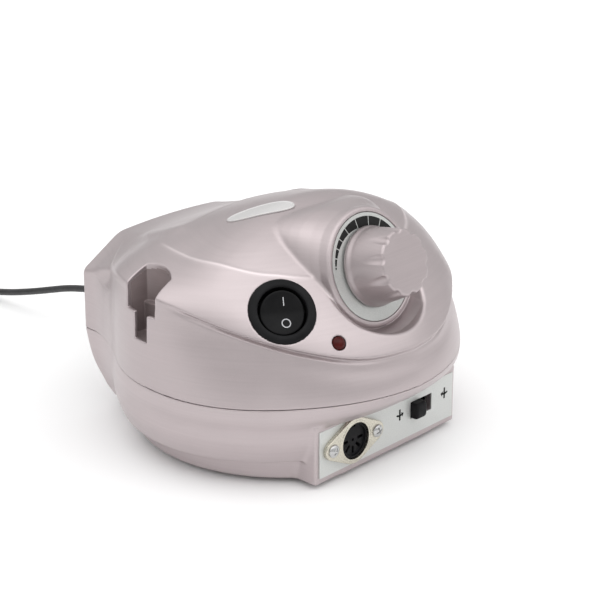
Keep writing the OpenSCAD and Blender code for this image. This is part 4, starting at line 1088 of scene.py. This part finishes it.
# ------------------------------------------------------------------ mains lead
def lead():
    pts = [(0, 59, 25), (0, 66, 25), (0, 76, 25), (0, 86, 25), (0, 96, 24.3), (0, 106, 22.9), (0, 116, 21), (0, 126, 18.6), (0, 136, 15.5), (0, 146, 12.3),
           (0, 156, 9.3), (0, 166, 6.6), (0.4, 176, 4.3), (1.4, 186, 2.6), (3, 195, 1.9), (5, 203, 1.76)]
    z0, dz, pitch, r_out = 1.75, 2.86, 2.86, 20.4
    ramp_deg = 60.0
    row_deg = (360 * 13 + 107 - 3 * ramp_deg) / 4
    r_in = r_out - pitch * row_deg / 360
    ph = -17.0
    r = r_out
    coil = []
    for row in range(4):
        n = int(round(row_deg / 24))
        for k in range(n + 1):
            t = k / n
            rr = r_out + (r_in - r_out) * t if row % 2 == 0 else r_in + (r_out - r_in) * t
            coil.append((ph + row_deg * t, rr, z0 + dz * row))
        ph += row_deg
        if row < 3:
            for k in (1, 2):
                coil.append((ph + ramp_deg * k / 3, coil[-1][1], z0 + dz * (row + step01(k / 3, 0, 1))))
            ph += ramp_deg
    for a, rr, z in coil:
        pts.append((-12 + rr * math.cos(math.radians(a)), 216 + rr * math.sin(math.radians(a)), float(z)))
    pts += [(-20, 236.4, 9.7), (-28, 236.4, 8.3), (-36, 236.4, 7.1), (-42, 236.4, 6.85)]
    cu = bpy.data.curves.new("mains_lead", "CURVE")
    cu.dimensions = "3D"
    sp = cu.splines.new("BEZIER")
    sp.bezier_points.add(len(pts) - 1)
    for bp, p in zip(sp.bezier_points, pts):
        bp.co = Vector(p) * MM
        bp.handle_left_type = bp.handle_right_type = "AUTO"
    sp.resolution_u = 6
    cu.bevel_depth = 1.4 * MM
    cu.bevel_resolution = 5
    cu.use_fill_caps = True
    o = link(bpy.data.objects.new("mains_lead", cu))
    cu.materials.append(M_CORD)
    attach(o, "housing")
    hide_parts("power_cord", "cord_coil")

    # tapered boot with bend slots, in the rear wall
    fr = frame_at((0, 54.1, 25), (1, 0, 0), (0, 0, -1), (0, 1, 0))
    prof = [(1.46, 0), (3.1, 0), (3.1, 7.3), (4.85, 7.3), (5.0, 7.5), (4.75, 8.3), (4.4, 8.6), (3.5, 8.7), (3.4, 9.2)]
    for i in range(7):
        h = 10.6 + 3.0 * i
        R = 3.36 - 1.2 * (h - 8.6) / 25
        prof += [(R, h), (R - 0.1, h + 0.12), (R - 0.42, h + 0.25), (R - 0.44, h + 0.9), (R - 0.14, h + 1.05), (R - 0.06, h + 1.15)]
    prof += [(2.16, 32.6), (2.02, 33.3), (1.8, 33.6), (1.46, 33.6)]
    v, n = [], 48
    for R, h in prof:
        for k in range(n):
            t = 2 * math.pi * k / n
            v.append((R * math.cos(t), R * math.sin(t), h))
    boot = mesh_piece("lead_boot", fr, v, rings_faces(len(prof), n, True), 40)
    finish_piece(boot, "housing", "rubber", "cord_grommet", m=M_RUBBER)

    # a strap around the coil with a small buckle
    fr = frame_at((-12, 216 - 15.8, 0), (0, 1, 0), (0, 0, 1), (1, 0, 0))
    b = Block((-8.2, -0.2, -3.4), (8.2, 13.6, 3.4), 0.16 * FINE)
    yc, hy, hx = 6.15, 5.95, 6.45
    q = np.maximum(np.abs(b.x) - hx + 1.6, 0), np.maximum(np.abs(b.y - yc) - hy + 1.6, 0)
    loop = np.sqrt(q[0] ** 2 + q[1] ** 2) - 1.6 + np.minimum(np.maximum(np.abs(b.x) - hx + 1.6, np.abs(b.y - yc) - hy + 1.6), 0)
    strap = smax(np.abs(loop - 0.1) - 0.32, np.abs(b.z) - 2.4, 0.3)
    buckle = smax(smax(np.abs(b.x + 2.2) - 2.6, np.abs(b.z) - 3.0, 0.6), np.abs(b.y - 12.55) - 0.75, 0.5)
    F = smin(strap, buckle, 0.25)
    F = np.maximum(F, 0.05 - b.y)
    tie = field_piece("coil_strap", fr, b, F)
    finish_piece(tie, "housing", "tie", "cord_tie", m=M_TIE)

    # two-pin plug
    fr = frame_at((-38, 236.4, 6.85), (-1, 0, 0), (0, -1, 0), (0, 0, 1))
    b = Block((-1.2, -18.4, -7.2), (33.2, 18.4, 7.2), 0.28 * FINE)
    s = np.clip(b.x, 0, 32)
    w = cub(s, [(0, 3.0), (5, 3.6), (9, 6.2), (14, 10.6), (20, 14.8), (26, 17.2), (32, 17.5)]).astype(np.float32)
    hh = cub(s, [(0, 2.6), (5, 3.2), (9, 4.8), (14, 6.0), (20, 6.4), (26, 6.5), (32, 6.5)]).astype(np.float32)
    e = np.interp(s, [0, 6, 16, 32], [2.0, 2.2, 3.2, 4.0]).astype(np.float32)
    a_, c_ = np.abs(b.y) / w + 1e-4, np.abs(b.z) / hh + 1e-4
    F = ((a_ ** e + c_ ** e) ** (1 / e) - 1) * np.minimum(w, hh) * 0.9
    for k in range(3):
        F = F + 0.45 * np.exp(-((b.x - 2.0 - 1.7 * k) / 0.42) ** 2)
    F = smax(smax(F, b.x - 32.0, 1.2), 0.0 - b.x, 0.4)
    for k in range(4):
        g = np.maximum(np.abs(b.x - 17.0 - 2.6 * k) - 0.5, 6.0 - np.abs(b.z))
        F = smax(F, -np.maximum(g, np.abs(b.y) - 8.5 + 0.6 * k), 0.25)
    F = smax(F, -np.maximum(np.sqrt(b.y ** 2 + b.z ** 2) - 1.45, b.x - 6), 0.1)
    plug = field_piece("plug_moulding", fr, b, F)
    finish_piece(plug, "housing", "rubber", "plug_body", m=M_RUBBER)
    pins = []
    for k, sg in enumerate((-1, 1)):
        fr = frame_at((-62.4, 236.4 + sg * 9.5, 6.85), (0, 1, 0), (0, 0, 1), (-1, 0, 0))
        o1 = lathe("plug_pin_%d" % (k + 1), fr, [(0, 0), (1.55, 0), (1.55, 16.6), (2.0, 16.7), (2.0, 25.2), (1.9, 25.8), (1.6, 26.3), (1.1, 26.55), (0, 26.6)], 40, 40)
        finish_piece(o1, "housing", "nickel", "plug_pins", m=M_NICKEL)
        o2 = lathe("plug_sleeve_%d" % (k + 1), fr, [(1.58, 7.0), (1.95, 7.05), (1.98, 7.4), (1.98, 16.3), (1.9, 16.6), (1.58, 16.65)], 40, 40)
        finish_piece(o2, "housing", "rubber", m=M_RUBBER)
        pins += [o1, o2]


lead()

# ------------------------------------------------------------------ carried-over CAD nodes
NODE_MATS = {
    "rubber_feet": M_RUBBER, "case_screws": M_STEEL, "front_label": M_LABEL, "din_flange": M_NICKEL, "din_insert": M_BLACK, "din_contacts": M_NICKEL,
    "din_screws": M_STEEL, "din_nuts": M_STEEL, "slide_body": M_BLACK, "slide_frame": M_STEEL, "slide_terminals": M_NICKEL,
    "slide_actuator": M_BLACK, "dial_plate": M_DIAL, "speed_knob": M_KNOB, "pot_shaft": M_STEEL, "pot_bushing": M_NICKEL,
    "pot_washer": M_STEEL, "pot_nut": M_NICKEL, "pot_body": M_STEEL, "pot_terminals": M_NICKEL, "rocker_bezel": M_BEZEL,
    "rocker": M_ROCKER, "rocker_terminals": M_NICKEL, "lamp_lens": M_LENS, "lamp_leads": M_STEEL, "badge_plate": M_BADGE,
    "main_board": M_BOARD, "board_screws": M_STEEL, "heat_sink": M_FINS, "power_transistor": M_BLACK, "bridge_rectifier": M_BLACK,
    "filter_capacitors": M_CAP, "control_chip": M_BLACK, "fuse_clips": M_NICKEL, "fuse": M_GLASS, "board_sockets": M_NYLON,
    "transformer_core": M_CORE, "transformer_winding": M_WIND, "transformer_bracket": M_STEEL, "transformer_screws": M_STEEL,
    "cord_grommet": M_RUBBER, "power_cord": M_CORD, "cord_coil": M_CORD, "cord_tie": M_TIE, "plug_body": M_RUBBER, "plug_pins": M_NICKEL,
}
for n, m in NODE_MATS.items():
    o = N[n]
    o.data.materials.clear()
    o.data.materials.append(m)
    for p in o.data.polygons:
        p.material_index = 0

# ------------------------------------------------------------------ stage and light
def stage():
    bm = bmesh.new()
    bmesh.ops.create_grid(bm, x_segments=2, y_segments=2, size=6)
    me = bpy.data.meshes.new("floor")
    bm.to_mesh(me)
    bm.free()
    o = link(bpy.data.objects.new("floor", me))
    m = mat("floor_white", (0.95, 0.95, 0.95), 0.9)
    me.materials.append(m)
    # an even pale sky, brighter overhead, with large soft boxes: (azimuth, elevation, strength)
    w = bpy.data.worlds.new("studio")
    w.use_nodes = True
    nt = w.node_tree
    bg = nt.nodes["Background"]
    bg.inputs[0].default_value = (1, 1, 1, 1)
    tc = nt.nodes.new("ShaderNodeTexCoord")
    sep = nt.nodes.new("ShaderNodeSeparateXYZ")
    nt.links.new(tc.outputs["Generated"], sep.inputs[0])

    def mul_add(a, k, c):
        n = nt.nodes.new("ShaderNodeMath")
        n.operation = "MULTIPLY_ADD"
        nt.links.new(a, n.inputs[0])
        n.inputs[1].default_value = k
        if isinstance(c, float):
            n.inputs[2].default_value = c
        else:
            nt.links.new(c, n.inputs[2])
        return n.outputs[0]

    total = mul_add(sep.outputs["Z"], 0.48, 0.47)
    for az, el, k in SOFT_BOXES:
        a, e = math.radians(az), math.radians(el)
        dot = nt.nodes.new("ShaderNodeVectorMath")
        dot.operation = "DOT_PRODUCT"
        dot.inputs[1].default_value = (math.cos(a) * math.cos(e), math.sin(a) * math.cos(e), math.sin(e))
        nt.links.new(tc.outputs["Generated"], dot.inputs[0])
        ex = nt.nodes.new("ShaderNodeMath")
        ex.operation = "EXPONENT"
        nt.links.new(mul_add(dot.outputs["Value"], 12.0, -12.0), ex.inputs[0])
        total = mul_add(ex.outputs[0], k, total)
    nt.links.new(total, bg.inputs[1])
    scene.world = w


SOFT_BOXES = [(-120, 66, 0.97), (180, 66, 0.54), (157, 45, 0.38), (112, 45, 0.4), (-68, 45, 1.04), (-36, 25, 0.48), (180, 25, 0.12), (67, 45, 0.12)]
stage()
scene.view_settings.view_transform = "Standard"
